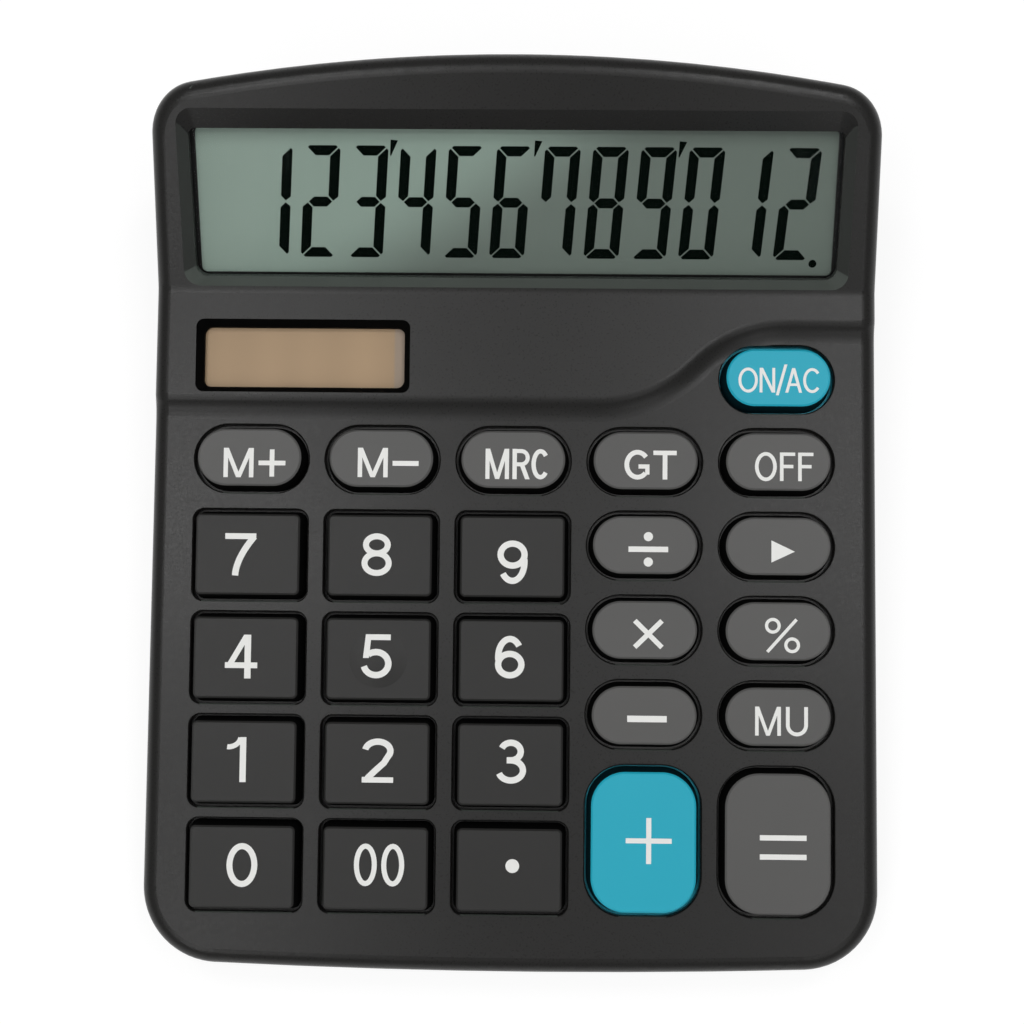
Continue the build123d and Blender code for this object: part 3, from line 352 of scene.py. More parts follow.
# Liquid crystal cell
# Two sheets of float glass with the crystal sealed between them, a polariser on each side and a grey-green
# reflector foil behind. The shown figures are areas where the crystal blocks the light.
FIGURES = "123456789012"
FIGURE_PITCH_MM = 7.75
FIGURE_WIDTH_MM = 5.75
FIGURE_HEIGHT_MM = 18.3
FIGURE_RIGHT_MM = 49.2
FIGURE_LOW_MM = -9.35
FIGURE_SLANT = math.tan(math.radians(4.3))
SEGMENT_MM = 1.62
SEGMENT_GAP_MM = 0.11
SEGMENT_CORNER_MM = 0.75
COMMA_AFTER = (2, 5, 8)
POINT_RADIUS_MM = 0.65
POINT_SHIFT_MM = (-0.55, -0.6)
FIELD_SHEEN_COLOUR = "#82958a"
FIELD_PLAIN_COLOUR = "#5d6961"
SHEEN_EDGE_TURN = (1.0, -1.79, 0.0)
SHEEN_EDGE_REACH_MM = (-115.0, -83.0)
FIELD_ROUGHNESS = 0.6
BRUSH_MM = 0.3
BRUSH_STRETCH = (1, 0.1, 0.1)
BRUSH_DEPTH_MM = 0.003

# Float glass with its polariser and the reflector showing through it: a matt grey-green field with a fine brushed
# grain up the slope. A painted reflection of a lamp makes the field paler at the upper left, and it fades to a
# darker grey-green to the right across a slanting edge.
field, tree = blank_material("polarised_liquid_crystal_glass")
place = add(tree, "TexCoord").outputs["Object"]
# Painted reflection: the field is paler to the left of a slanting line across it.
turned = add(tree, "VectorMath", {0: place, 1: SHEEN_EDGE_TURN}, operation="DOT_PRODUCT")
sheen_fade = add(tree, "MapRange", {"Value": turned.outputs["Value"], "From Min": SHEEN_EDGE_REACH_MM[0] * MM,
                               "From Max": SHEEN_EDGE_REACH_MM[1] * MM}, interpolation_type="SMOOTHSTEP")
tone = add(tree, "Mix", {"Factor": sheen_fade.outputs["Result"], "A": linear(FIELD_SHEEN_COLOUR),
                         "B": linear(FIELD_PLAIN_COLOUR)}, data_type="RGBA")
stretched = add(tree, "Mapping", {"Vector": place, "Scale": BRUSH_STRETCH}, vector_type="POINT")
brushed = add(tree, "TexNoise", {"Vector": stretched.outputs["Vector"], "Scale": 1 / (BRUSH_MM * MM)})
bump = add(tree, "Bump", {"Height": brushed.outputs["Fac"], "Distance": BRUSH_DEPTH_MM * MM})
show(tree, add(tree, "BsdfPrincipled", {"Base Color": tone.outputs["Result"], "Roughness": FIELD_ROUGHNESS,
                                        "Normal": bump.outputs["Normal"]}))
dress(field, "lcd_front_glass")

# Plain float glass: clear and slightly green, with polished faces.
dress(clear_sheet("float_glass", "#f2f8f4", GLASS_IOR, POLISH_ROUGHNESS), "lcd_rear_glass")
# Reflector foil: grey-green and matt, with a fine grain.
dress(moulded_plastic("grey_green_reflector_foil", "#93a394", "#86938a", (0.5, 0.65), 0.3, 0.003), "lcd_reflector")

# Darkened crystal: a deep green black with a slightly uneven density. It lies inside the glass, so it has no gloss.
crystal = moulded_plastic("darkened_crystal", "#030806", "#060d09", (0.5, 0.6), 0.6, 0.0, ior=1.0)

w, h, t = FIGURE_WIDTH_MM, FIGURE_HEIGHT_MM, SEGMENT_MM
g, k, m = SEGMENT_GAP_MM, SEGMENT_CORNER_MM, FIGURE_HEIGHT_MM / 2
tip = g * math.sqrt(2)
cut = g / math.sqrt(2)
top_bar = [(k, h), (w - k, h), (w - k / 2 - cut, h - k / 2 + cut), (w - t - tip, h - t), (t + tip, h - t),
           (k / 2 + cut, h - k / 2 + cut)]
upper_left = [(0, h - k), (k / 2 - cut, h - k / 2 - cut), (t, h - t - tip), (t, m + t / 2 + tip),
              (t / 2, m + tip), (0, m + t / 2)]
middle_bar = [(t / 2 + tip, m), (t + tip, m + t / 2), (w - t - tip, m + t / 2), (w - t / 2 - tip, m),
              (w - t - tip, m - t / 2), (t + tip, m - t / 2)]
upper_right = [(w - x, y) for x, y in upper_left]
comma = [(w + 0.25, h + 0.95), (w + 1.45, h + 0.85), (w + 1.3, h + 0.45), (w + 0.45, h - 1.7), (w + 0.3, h - 1.5)]
SEGMENTS = {
    "a": top_bar, "f": upper_left, "b": upper_right, "g": middle_bar,
    "d": [(x, h - y) for x, y in top_bar], "e": [(x, h - y) for x, y in upper_left],
    "c": [(x, h - y) for x, y in upper_right]}
LIT = {"0": "abcdef", "1": "bc", "2": "abged", "3": "abgcd", "4": "fgbc", "5": "afgcd", "6": "afgedc",
       "7": "fabc", "8": "abcdefg", "9": "abfgcd"}

glass_place, glass_reach = plane_frame("lcd_front_glass", head_normal, head_up)
lens_middle = lens_place.translation.dot(head_up)
crystal_place = glass_place @ Matrix.Translation((0, lens_middle - sum(glass_reach[1]) / 2, 0))


def leaning(polygons, x):
    """Polygons of one figure at its place in the row, leaning as the figures do."""
    return [[(x + px + (py - m) * FIGURE_SLANT, FIGURE_LOW_MM + py) for px, py in p] for p in polygons]


lit = []
for number, figure in enumerate(FIGURES):
    x = FIGURE_RIGHT_MM - w - m * FIGURE_SLANT - FIGURE_PITCH_MM * (len(FIGURES) - 1 - number)
    lit += leaning([SEGMENTS[s] for s in LIT[figure]], x)
    if number in COMMA_AFTER:
        lit += leaning([comma], x)
lit.append(oval(FIGURE_RIGHT_MM + POINT_SHIFT_MM[0], FIGURE_LOW_MM + POINT_SHIFT_MM[1], POINT_RADIUS_MM,
                POINT_RADIUS_MM))
printed_film("display_figures", lit, crystal_place, PRINT_MM, crystal, "case", sink_mm=PRINT_MM / 2)

# Display holder and ribbon
# A black ABS plate that clamps the glass against the lens, and a heat-sealed polyester ribbon with carbon
# tracks that joins the glass to the board.
TRACK_PITCH_MM = 1.0
TRACK_EDGE = (0.45, 0.55)
FILM_COLOUR = "#c9c6b4"
TRACK_COLOUR = "#1c1b19"
RIBBON_ROUGHNESS = 0.3
POLYESTER_IOR = 1.57
# One turn of the wave texture is a twentieth of 2 pi long at scale 1.
WAVE_TURN = 2 * math.pi / 20

# Plain ABS: dull black, with the marks of the tool's cutter.
dress(moulded_plastic("black_abs_plain", "#141414", "#1a1a1a", (0.45, 0.55), 0.5, 0.004), "lcd_holder")

# Polyester film: milky and glossy, striped with black carbon tracks.
ribbon, tree = blank_material("polyester_carbon_ribbon")
place = add(tree, "TexCoord").outputs["Object"]
tracks = add(tree, "TexWave", {"Vector": place, "Scale": WAVE_TURN / (TRACK_PITCH_MM * MM), "Distortion": 0.0},
             bands_direction="X")
track = add(tree, "MapRange", {"Value": tracks.outputs["Fac"], "From Min": TRACK_EDGE[0],
                               "From Max": TRACK_EDGE[1]})
tone = add(tree, "Mix", {"Factor": track.outputs["Result"], "A": linear(FILM_COLOUR), "B": linear(TRACK_COLOUR)},
           data_type="RGBA")
show(tree, add(tree, "BsdfPrincipled", {"Base Color": tone.outputs["Result"], "Roughness": RIBBON_ROUGHNESS,
                                        "IOR": POLYESTER_IOR}))
dress(ribbon, "lcd_ribbon")

# Key caps
# Twenty-six separate ABS caps with a bevelled top edge, held under the deck by a flange. The crown is black on the
# number keys, turquoise on two others and grey on the rest, and the steep sides are painted nearly black as painted
# shade in the gaps round the caps.
DIGIT_KEYS = ["key_" + name for name in "0 00 point 1 2 3 4 5 6 7 8 9".split()]
ACCENT_KEYS = ["key_on_clear", "key_add"]
FUNCTION_KEYS = sorted(n for n in nodes if n.startswith("key_") and n != "key_mat"
                       and n not in DIGIT_KEYS + ACCENT_KEYS)
KEY_GRAIN_MM = 0.3
KEY_GRAIN_DEPTH_MM = 0.003
CROWN_ROUGHNESS = (0.36, 0.46)
SKIRT_ROUGHNESS = (0.55, 0.65)
SKIRT_IOR = 1.2
SKIRT_SLOPE = 0.5

# Satin ABS off a finely blasted tool: smoother than the case, so the edges of the caps catch the light.
dress(moulded_plastic("black_abs_satin", "#1c1c1b", "#222120", CROWN_ROUGHNESS, KEY_GRAIN_MM,
                      KEY_GRAIN_DEPTH_MM), *DIGIT_KEYS)
dress(moulded_plastic("grey_abs_satin", "#4f4f4e", "#555453", CROWN_ROUGHNESS, KEY_GRAIN_MM,
                      KEY_GRAIN_DEPTH_MM), *FUNCTION_KEYS)
dress(moulded_plastic("turquoise_abs_satin", "#12a1b9", "#1aa5bc", CROWN_ROUGHNESS, KEY_GRAIN_MM,
                      KEY_GRAIN_DEPTH_MM), *ACCENT_KEYS)
# Painted shade on the steep sides of the caps: a nearly black matt ABS, so that the gaps round the caps show as
# dark rings.
black_shade_skirt = moulded_plastic("black_abs_painted_shade", "#070707", "#0b0b0b", SKIRT_ROUGHNESS, KEY_GRAIN_MM,
                              KEY_GRAIN_DEPTH_MM, ior=SKIRT_IOR)
teal_shade_skirt = moulded_plastic("dark_teal_abs_painted_shade", "#052127", "#07262d", SKIRT_ROUGHNESS, KEY_GRAIN_MM,
                             KEY_GRAIN_DEPTH_MM, ior=SKIRT_IOR)
# Painted shade: every steep face of a cap takes a nearly black finish, dark teal on the turquoise caps.
for key in DIGIT_KEYS + FUNCTION_KEYS + ACCENT_KEYS:
    skirt = extra_finish(key, teal_shade_skirt if key in ACCENT_KEYS else black_shade_skirt)
    for face in nodes[key].data.polygons:
        if face.normal.z < SKIRT_SLOPE:
            face.material_index = skirt

# Key legends
# White ink, pad printed on the tops of the caps as a thin film, in a plain sans-serif letter. Each legend is
# given by its middle from the middle of its cap, its stroke and the box of each sign, in millimetres.
INK_MM = 0.03
INK_SINK_MM = 0.02
CAP_TOP_MM = 0.6
HOME_KEY = "key_5"
HOME_SLICES = 16
HOOP_POINTS = 32
MITRE_LIMIT = 0.35
DIVIDE_DOT_MM = 0.74
LEGENDS = {
    "key_7": (-1.14, -0.05, 1.02, [("7", 0, 0, 5.0, 6.8)]),
    "key_8": (-0.49, 0.12, 0.95, [("8", 0, 0, 4.85, 6.85)]),
    "key_9": (0.04, -0.89, 1.0, [("9", 0, 0, 4.85, 6.98)]),
    "key_4": (-0.7, 0.17, 1.02, [("4", 0, 0, 5.2, 7.0)]),
    "key_5": (-0.28, 0.43, 1.02, [("5", 0, 0, 5.0, 7.03)]),
    "key_6": (-0.23, 0.52, 1.0, [("6", 0, 0, 4.73, 6.8)]),
    "key_1": (-1.13, 0.35, 1.0, [("1", 0, 0, 3.04, 7.14)]),
    "key_2": (0.16, 0.44, 1.0, [("2", 0, 0, 5.02, 7.0)]),
    "key_3": (0.2, 0.52, 1.0, [("3", 0, 0, 4.7, 6.97)]),
    "key_0": (0.06, 0.27, 0.95, [("0", 0, 0, 4.93, 6.93)]),
    "key_00": (0.62, 0.55, 0.8, [("0", 0, 0, 3.65, 6.7), ("0", 4.35, 0, 3.65, 6.7)]),
    "key_point": (0.51, 0.64, 1.0, [("dot", 0, 0, 2.19, 2.19)]),
    "key_memory_plus": (0.84, -0.9, 0.76, [("M", 0, 0, 4.85, 4.75), ("+", 5.65, 0.15, 4.35, 4.4)]),
    "key_memory_minus": (1.14, -0.7, 0.76, [("M", 0, 0, 4.85, 4.75), ("-", 5.62, 1.87, 4.2, 0.8)]),
    "key_memory_recall": (0.6, -0.74, 0.7, [("M", 0, 0, 3.8, 4.9), ("R", 4.35, 0, 2.85, 4.9),
                                             ("C", 7.4, 0, 2.75, 4.9)]),
    "key_grand_total": (0.78, -0.68, 0.76, [("G", 0, 0, 4.2, 4.8), ("T", 4.65, 0.05, 3.75, 4.65)]),
    "key_off": (0.92, -0.8, 0.58, [("O", 0, 0, 3.5, 4.7), ("F", 4.0, 0.05, 2.45, 4.6),
                                   ("F", 6.92, 0.05, 2.45, 4.6)]),
    "key_on_clear": (0.13, -0.35, 0.46, [("O", 0, 0, 3.12, 4.05), ("N", 3.4, 0.03, 2.5, 4.0),
                                         ("/", 5.98, -0.4, 1.9, 5.0), ("A", 7.5, 0.03, 2.75, 4.0),
                                         ("C", 10.4, 0, 2.75, 4.05)]),
    "key_divide": (0.5, -0.68, 0.88, [("div", 0, 0, 6.35, 5.55)]),
    "key_multiply": (0.58, -0.63, 0.79, [("x", 0, 0, 4.9, 4.8)]),
    "key_subtract": (0.44, -0.56, 1.02, [("-", 0, 0, 6.3, 1.02)]),
    "key_add": (0.83, 0.25, 0.8, [("+", 0, 0, 7.3, 7.25)]),
    "key_equals": (0.83, -0.53, 0.84, [("=", 0, 0, 7.4, 3.85)]),
    "key_backspace": (0.77, -0.84, 0.9, [("play", 0, 0, 3.75, 3.55)]),
    "key_percent": (0.68, -0.65, 0.51, [("%", 0, 0, 5.6, 5.6)]),
    "key_markup": (0.54, -0.71, 0.6, [("M", 0, 0, 4.1, 4.6), ("U", 4.9, -0.05, 3.5, 4.65)])}


def ribbon_of(path, stroke, closed=False):
    """A stroke along a path of points, as four-sided pieces with mitred joints and square ends."""
    count = len(path)
    sides = []
    for i, (x, y) in enumerate(path):
        before = path[i - 1] if i or closed else None
        after = path[(i + 1) % count] if i < count - 1 or closed else None
        ways = [Vector((b[0] - a[0], b[1] - a[1])).normalized()
                for a, b in ((before, (x, y)), ((x, y), after)) if a and b]
        along = (ways[0] + ways[-1]).normalized()
        reach = stroke / 2 / max(along.dot(ways[0]), MITRE_LIMIT)
        sides.append(((x - along.y * reach, y + along.x * reach), (x + along.y * reach, y - along.x * reach)))
    pairs = zip(sides, sides[1:] + sides[:1]) if closed else zip(sides, sides[1:])
    return [[a[0], a[1], b[1], b[0]] for a, b in pairs]


def slanted(x0, y0, x1, y1, stroke):
    """A straight stroke with level ends."""
    half = stroke / 2 * math.hypot(x1 - x0, y1 - y0) / abs(y1 - y0)
    return [[(x0 - half, y0), (x0 + half, y0), (x1 + half, y1), (x1 - half, y1)]]


def bar(x0, y0, x1, y1):
    return [[(x0, y0), (x1, y0), (x1, y1), (x0, y1)]]


def hoop(x, y, rx, ry, stroke):
    """A closed oval stroke whose outer size is given."""
    return ribbon_of(oval(x, y, rx - stroke / 2, ry - stroke / 2, HOOP_POINTS), stroke, closed=True)


def sign(name, w, h, t):
    """The polygons of one printed sign in a box of that width and height, drawn with that stroke."""
    r, waist = t / 2, 0.53 * h
    if name in "0O":
        return hoop(w / 2, h / 2, w / 2, h / 2, t)
    if name == "1":
        flag = arc(w - t - 0.62 * w, h + 0.02 * h, 0.66 * w, 0.24 * h, -8, -88, 8)
        return bar(w - t, 0, w, h) + ribbon_of([p for p in flag if p[0] > 0] + [(0, 0.785 * h)], 0.8 * t)
    if name == "2":
        rise = 0.72 * h
        path = arc(w / 2, rise, w / 2 - r, h - r - rise, 172, -32)
        path += [(0.70 * w, 0.45 * h), (0.40 * w, 0.255 * h), (0.2 * w, 0.115 * h), (0.155 * w, 0.06 * h)]
        return ribbon_of(path, t) + bar(0, 0, w, 0.86 * t) + bar(0, 0, 0.2 * w, 0.9 * t)
    if name == "3":
        upper = arc(0.48 * w, (h - r + waist) / 2, 0.44 * w - r, (h - r - waist) / 2, 158, -90)
        lower = arc(0.48 * w, (waist + r) / 2, 0.52 * w - r, (waist - r) / 2, 90, -162)
        return ribbon_of(upper, t) + ribbon_of(lower, t) + bar(0.34 * w, waist - r, 0.5 * w, waist + r)
    if name == "4":
        stem, beam = 0.70 * w, 0.235 * h
        return (bar(stem - r, 0, stem + r, h) + bar(0, beam, w, beam + 0.9 * t)
                + slanted(stem - 0.1 * t, h, 0.62 * t, beam + 0.3 * t, 0.88 * t))
    if name == "5":
        bowl = arc(w / 2 - 0.01 * w, 0.335 * h, w / 2 - r, 0.335 * h - r, 128, -166)
        return (bar(0.2 * w, h - 0.9 * t, 0.95 * w, h) + ribbon_of(bowl, t)
                + slanted(0.245 * w, h, 0.135 * w + r * 0.3, 0.46 * h, 0.92 * t))
    if name in "69":
        neck = arc(w / 2, 0.5 * h, w / 2 - r, h / 2 - r, 190, 38)
        shape = hoop(w / 2, 0.325 * h, w / 2, 0.325 * h, t) + ribbon_of(neck, t)
        return shape if name == "6" else [[(w - x, h - y) for x, y in p] for p in shape]
    if name == "7":
        fall = [(w - 0.06 * w - (0.60 * w) * (1 - (1 - s) ** 1.75), (h - 0.5 * t) * (1 - s))
                for s in (i / 12 for i in range(13))]
        return bar(0, h - 0.92 * t, w, h) + ribbon_of(fall, t)
    if name == "8":
        return (hoop(w / 2, (h + waist - r) / 2, 0.46 * w, (h - waist + r) / 2, t)
                + hoop(w / 2, (waist + r) / 2, w / 2, (waist + r) / 2, t))
    if name == "dot":
        return [oval(w / 2, h / 2, w / 2, h / 2, HOOP_POINTS)]
    if name == "M":
        return (bar(0, 0, 0.95 * t, h) + bar(w - 0.95 * t, 0, w, h) + slanted(0.58 * t, h, w / 2, 0, 0.9 * t)
                + slanted(w - 0.58 * t, h, w / 2, 0, 0.9 * t))
    if name == "R":
        bowl = [(r, h - r), (0.5 * w, h - r)] + arc(0.5 * w, (h - r + 0.49 * h) / 2, 0.48 * w - r,
                                                    (h - r - 0.49 * h) / 2, 80, -80, 12)
        bowl += [(0.5 * w, 0.49 * h), (r, 0.49 * h)]
        return bar(0, 0, t, h) + ribbon_of(bowl, 0.92 * t) + slanted(0.52 * w, 0.5 * h, w - 0.62 * t, 0, t)
    if name == "C":
        return ribbon_of(arc(0.53 * w, h / 2, 0.53 * w - r, h / 2 - r, 40, 320), t)
    if name == "G":
        side = 0.96 * w
        return (ribbon_of(arc(w / 2, h / 2, w / 2 - r, h / 2 - r, 38, 318), t)
                + bar(0.54 * w, 0.37 * h, side, 0.37 * h + 0.9 * t) + bar(side - 0.9 * t, 0.17 * h, side, 0.45 * h))
    if name == "T":
        return bar(0, h - 0.95 * t, w, h) + bar(w / 2 - r, 0, w / 2 + r, h)
    if name == "F":
        return bar(0, 0, t, h) + bar(0, h - 0.95 * t, w, h) + bar(0, 0.45 * h, 0.88 * w, 0.45 * h + 0.95 * t)
    if name == "N":
        return bar(0, 0, t, h) + bar(w - t, 0, w, h) + slanted(0.62 * t, h, w - 0.62 * t, 0, t)
    if name == "A":
        return (slanted(w / 2, h, 0.58 * t, 0, t) + slanted(w / 2, h, w - 0.58 * t, 0, t)
                + bar(0.2 * w, 0.27 * h, 0.8 * w, 0.27 * h + 0.9 * t))
    if name == "U":
        low = w / 2 - r
        return ribbon_of([(r, h), (r, low + r)] + arc(w / 2, low + r, low, low, 184, 356, 16)
                         + [(w - r, low + r), (w - r, h)], t)
    if name == "/":
        return slanted(w - 0.55 * t, h, 0.55 * t, 0, t)
    if name == "+":
        return bar(0, h / 2 - r, w, h / 2 + r) + bar(w / 2 - r, 0, w / 2 + r, h)
    if name == "-":
        return bar(0, 0, w, h)
    if name == "=":
        return bar(0, 0, w, t) + bar(0, h - t, w, h)
    if name == "x":
        inset = r / math.sqrt(2)
        return (ribbon_of([(inset, inset), (w - inset, h - inset)], t)
                + ribbon_of([(inset, h - inset), (w - inset, inset)], t))
    if name == "div":
        return (bar(0, h / 2 - r, w, h / 2 + r) + [oval(w / 2, DIVIDE_DOT_MM, DIVIDE_DOT_MM, DIVIDE_DOT_MM)]
                + [oval(w / 2, h - DIVIDE_DOT_MM, DIVIDE_DOT_MM, DIVIDE_DOT_MM)])
    if name == "%":
        ring = 0.225 * w
        return (hoop(ring, h - ring, ring, ring, t) + hoop(w - ring, ring, ring, ring, t)
                + ribbon_of([(0.07 * w, 0.03 * h), (0.9 * w, 0.96 * h)], t))
    return [[(0, 0), (w, h / 2), (0, h)]]


# Pad printing ink: an opaque white, a little duller than the cap.
legend_ink = moulded_plastic("white_pad_ink", "#e9e9e6", "#e2e2df", (0.45, 0.55), 0.25, 0.002)
key_presses = {joint["child"]: Vector(joint["axis"]) for joint in frame["joints"]
               if joint["child"].startswith("key_")}
for key, (off_x, off_y, stroke, signs) in LEGENDS.items():
    normal = -key_presses[key].normalized()
    slope = Vector((0, normal.z, -normal.y))
    cap = nodes[key].data
    high = max(v.co.dot(normal) for v in cap.vertices)
    crown = [v.co for v in cap.vertices if v.co.dot(normal) > high - CAP_TOP_MM * MM]
    xs, ys = [c.x for c in crown], [c.dot(slope) for c in crown]
    middle = (Vector((1, 0, 0)) * (min(xs) + max(xs)) + slope * (min(ys) + max(ys))) / 2 + normal * high
    turned = Matrix((Vector((1, 0, 0)), slope, normal)).transposed().to_4x4()
    place = Matrix.Translation(middle) @ turned
    surface = BVHTree.FromPolygons([v.co.copy() for v in cap.vertices], [p.vertices[:] for p in cap.polygons])

    def cap_height(point):
        """How far the cap's surface is above its highest point's plane, at a point seen along the normal."""
        found = surface.ray_cast(point + normal * MM, -normal)[0]
        return (found - point).dot(normal)

    polygons = []
    for name, x, y, wide, tall in signs:
        polygons += [[(px + x, py + y) for px, py in p] for p in sign(name, wide, tall, stroke)]
    left = min(x for _, x, _, _, _ in signs)
    right = max(x + wide for _, x, _, wide, _ in signs)
    low = min(y for _, _, y, _, _ in signs)
    tall = max(y + height for _, _, y, _, height in signs)
    shift_x, shift_y = off_x - (left + right) / 2, off_y - (low + tall) / 2
    polygons = [[(px + shift_x, py + shift_y) for px, py in p] for p in polygons]
    printed_film("legend_" + key[4:], polygons, place, INK_MM, legend_ink, key, sink_mm=INK_SINK_MM,
                 steps=HOME_SLICES if key == HOME_KEY else 0, settle=cap_height)

# Dome sheet
# One sheet of grey silicone under all the keys, moulded with a collapsing dome for each.
# Moulded silicone: soft, matt and slightly dusty.
dress(moulded_plastic("grey_silicone", "#b5b7b7", "#a9abab", (0.6, 0.72), 0.5, 0.004, ior=1.41), "key_mat")

# Circuit board
# A single-sided phenolic paper board screwed under the deck, with the chip under a drop of black epoxy and a
# small sleeved capacitor beside it.
# Phenolic paper laminate: brown, slightly mottled by the paper in it.
dress(moulded_plastic("phenolic_laminate", "#7d5526", "#6f4c22", (0.4, 0.5), 0.4, 0.004, ior=1.58),
      "circuit_board")
# Cured epoxy: black and glossy, slightly rippled where it flowed.
dress(moulded_plastic("black_epoxy", "#0b0b0c", "#121213", (0.12, 0.2), 2.5, 0.02, ior=1.55), "chip_blob")
# Shrunk PVC sleeve: dark blue and glossy.
dress(moulded_plastic("blue_pvc_sleeve", "#12204f", "#17275c", (0.2, 0.3), 0.6, 0.003), "capacitor")

# Screws
# Self-tapping steel screws, zinc plated, for the board, the display holder and the two halves of the case.
MARK_DEPTH_MM = 0.002


def plated_metal(name, colour, roughness, grain_mm):
    """Plated metal: bright, with fine drawing marks that vary its gloss."""
    material, tree = blank_material(name)
    place = add(tree, "TexCoord").outputs["Object"]
    marks = add(tree, "TexNoise", {"Vector": place, "Scale": 1 / (grain_mm * MM), "Detail": 3.0})
    gloss = add(tree, "MapRange", {"Value": marks.outputs["Fac"], "To Min": roughness[0], "To Max": roughness[1]})
    bump = add(tree, "Bump", {"Height": marks.outputs["Fac"], "Distance": MARK_DEPTH_MM * MM})
    show(tree, add(tree, "BsdfPrincipled", {
        "Base Color": linear(colour), "Metallic": 1.0, "Roughness": gloss.outputs["Result"],
        "Normal": bump.outputs["Normal"]}))
    return material


# Zinc plate: a bluish bright grey, slightly cloudy.
dress(plated_metal("zinc_plated_steel", "#b9bcc0", (0.25, 0.45), 0.5), "case_screws", "board_screws",
      "holder_screws")

# Battery and contacts
# An AA cell in its compartment at the rear, between a pressed plus contact and a leaf spring. Both contacts are
# nickel-plated spring steel, held in slots of the compartment.
# Nickel plate: a warm bright grey.
dress(plated_metal("nickel_plated_spring_steel", "#c9c5ba", (0.18, 0.34), 0.4), "battery_plus_contact",
      "battery_minus_spring")
# A plain printed steel can: an even metallic grey under clear lacquer.
dress(plated_metal("lacquered_cell_can", "#8f9296", (0.24, 0.36), 0.8), "battery_cell")

# Bottom case, door and feet
# The lower half of the housing and the battery door are moulded like the top case, in the same black ABS, and
# four rubber feet are pressed into recesses.
# The same grained ABS as the top case, a shade lighter.
dress(moulded_plastic("black_abs_base", "#191919", "#1f1f1e", CASE_ROUGHNESS, CASE_GRAIN_MM,
                      CASE_GRAIN_DEPTH_MM), "bottom_case", "battery_door")
# Moulded rubber: dull black.
dress(moulded_plastic("black_rubber", "#161616", "#1c1c1c", (0.75, 0.85), 0.6, 0.01, ior=1.52), "rubber_feet")

# Floor and light
# A white sweep under the object, a room that is white low down and dimmer above, and the lamps of a copy stand: a
# row of three soft panels on either side of the camera and two larger soft lamps at the front.
FLOOR_SIZE = 12.0
FLOOR_GAP_MM = 0.05
FLOOR_WHITE = "#f2f2f2"
FLOOR_SHADE = 0.25
FLOOR_GLOW = 1.1
ROOM = 0.5
WALL = 1.0
WALL_FADE = (0.08, 0.3)
LAMP_AIM = Vector((0.0, 0.0, 0.02))
LAMPS = {"left_panel_1": (Vector((-0.215, -0.275, 0.8)), 0.12, 0.25, 0.44),
         "left_panel_2": (Vector((-0.215, -0.025, 0.8)), 0.12, 0.25, 0.73),
         "left_panel_3": (Vector((-0.215, 0.225, 0.8)), 0.12, 0.25, 0.62),
         "right_panel_1": (Vector((0.215, -0.275, 0.8)), 0.12, 0.25, 0.22),
         "right_panel_2": (Vector((0.215, -0.025, 0.8)), 0.12, 0.25, 0.63),
         "right_panel_3": (Vector((0.215, 0.225, 0.8)), 0.12, 0.25, 0.85),
         "left_front_lamp": (Vector((-0.32, -0.62, 0.8)), 0.25, 0.25, 0.7),
         "right_front_lamp": (Vector((0.32, -0.62, 0.8)), 0.25, 0.25, 0.35)}

sheet = bpy.data.meshes.new("floor")
half = FLOOR_SIZE / 2
sheet.from_pydata([(-half, -half, 0), (half, -half, 0), (half, half, 0), (-half, half, 0)], [], [(0, 1, 2, 3)])
floor = bpy.data.objects.new("floor", sheet)
floor.location.z = cad_box[0][2] - FLOOR_GAP_MM * MM
bpy.context.scene.collection.objects.link(floor)
# White paper: it shows white with a faint shadow, and lights the object as plain white paper does.
paper, tree = blank_material("white_paper")
matt = add(tree, "BsdfDiffuse", {"Color": linear(FLOOR_WHITE)})
white = add(tree, "Emission", {"Strength": FLOOR_GLOW})
seen = add(tree, "MixShader", {0: FLOOR_SHADE, 1: white.outputs[0], 2: matt.outputs[0]})
path = add(tree, "LightPath")
sight = add(tree, "Math", {0: path.outputs["Is Camera Ray"], 1: path.outputs["Is Glossy Ray"]},
            operation="MAXIMUM")
sight = add(tree, "Math", {0: sight.outputs[0], 1: path.outputs["Is Transmission Ray"]}, operation="MAXIMUM")
show(tree, add(tree, "MixShader", {0: sight.outputs[0], 1: matt.outputs[0], 2: seen.outputs[0]}))
sheet.materials.append(paper)

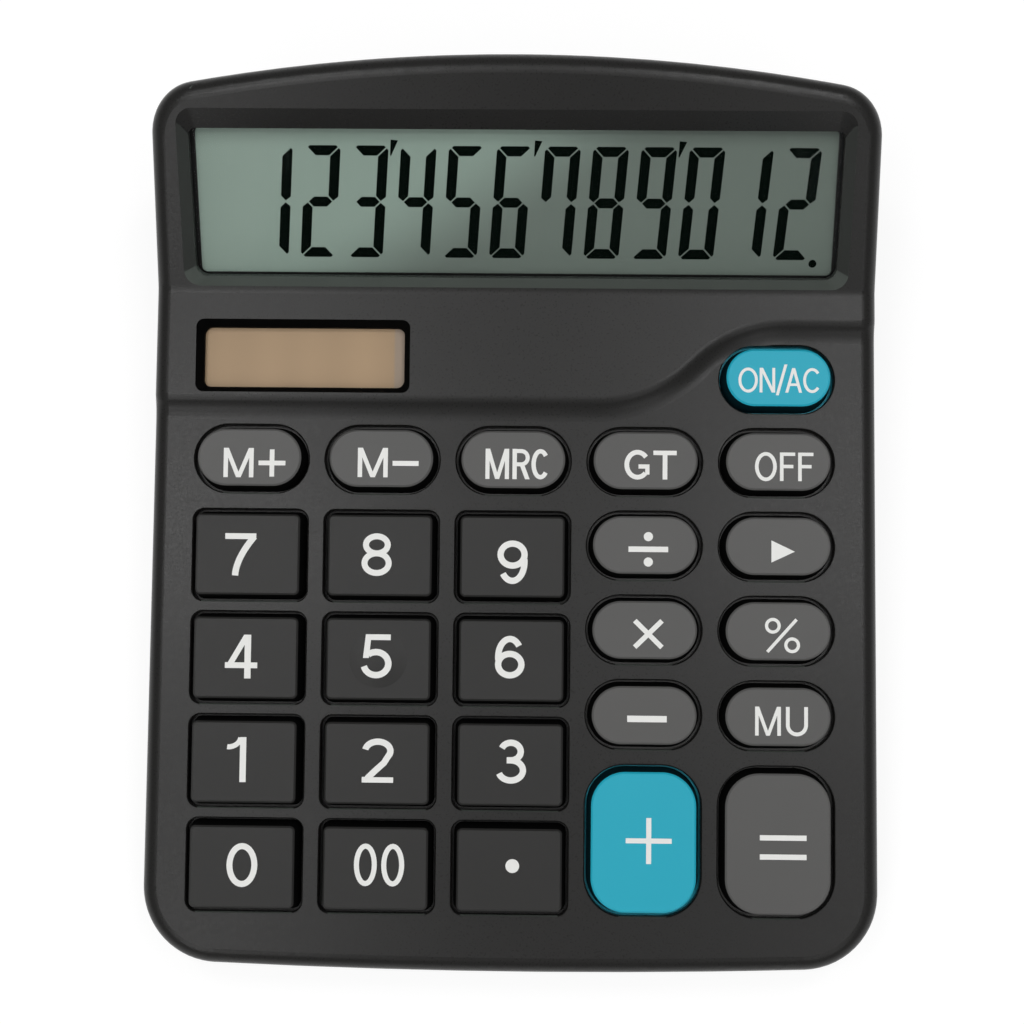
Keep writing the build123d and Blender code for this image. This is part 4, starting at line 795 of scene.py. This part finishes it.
room = bpy.data.worlds.new("white_room")
room.use_nodes = True
tree = room.node_tree
tree.nodes.clear()
height = add(tree, "SeparateXYZ", {"Vector": add(tree, "TexCoord").outputs["Generated"]}).outputs["Z"]
fade = add(tree, "MapRange", {"Value": height, "From Min": WALL_FADE[0], "From Max": WALL_FADE[1],
                              "To Min": WALL, "To Max": ROOM}, interpolation_type="SMOOTHSTEP")
glow = add(tree, "Background", {"Strength": fade.outputs["Result"]})
add(tree, "OutputWorld", {"Surface": glow.outputs[0]})
bpy.context.scene.world = room

for name, (spot, wide, long, power) in LAMPS.items():
    lamp = bpy.data.lights.new(name, "AREA")
    lamp.energy = power
    lamp.shape = "RECTANGLE"
    lamp.size = wide
    lamp.size_y = long
    stand = bpy.data.objects.new(name, lamp)
    stand.location = spot
    stand.rotation_euler = (LAMP_AIM - spot).to_track_quat("-Z", "Y").to_euler()
    bpy.context.scene.collection.objects.link(stand)

# Camera
# Nearly straight above the keys, about 0.3 m up, tipped forward and turned a little off square.
FOCAL_PIXELS = 1900.0
IMAGE_PIXELS = 1024
SENSOR_MM = 36.0
CLIP_START = 0.01
CAMERA_PLACE = Vector((5.22, -47.2, 324.18)) * MM
TIP, TURN, ROLL = (math.radians(a) for a in (9.026, 1.002, 0.533))

backward = Vector((0, -math.sin(TIP), math.cos(TIP)))
rightward = Vector((1, 0, 0))
upward = backward.cross(rightward)
rightward, backward = (math.cos(TURN) * rightward - math.sin(TURN) * backward,
                       math.sin(TURN) * rightward + math.cos(TURN) * backward)
rightward, upward = (math.cos(ROLL) * rightward + math.sin(ROLL) * upward,
                     math.cos(ROLL) * upward - math.sin(ROLL) * rightward)
lens = bpy.data.cameras.new("camera")
lens.sensor_fit = "HORIZONTAL"
lens.sensor_width = SENSOR_MM
lens.lens = SENSOR_MM * FOCAL_PIXELS / IMAGE_PIXELS
lens.clip_start = CLIP_START
camera = bpy.data.objects.new("camera", lens)
camera.matrix_world = (Matrix.Translation(CAMERA_PLACE)
                       @ Matrix((rightward, upward, backward)).transposed().to_4x4())
bpy.context.scene.collection.objects.link(camera)
bpy.context.scene.camera = camera
bpy.context.scene.view_settings.view_transform = "Standard"
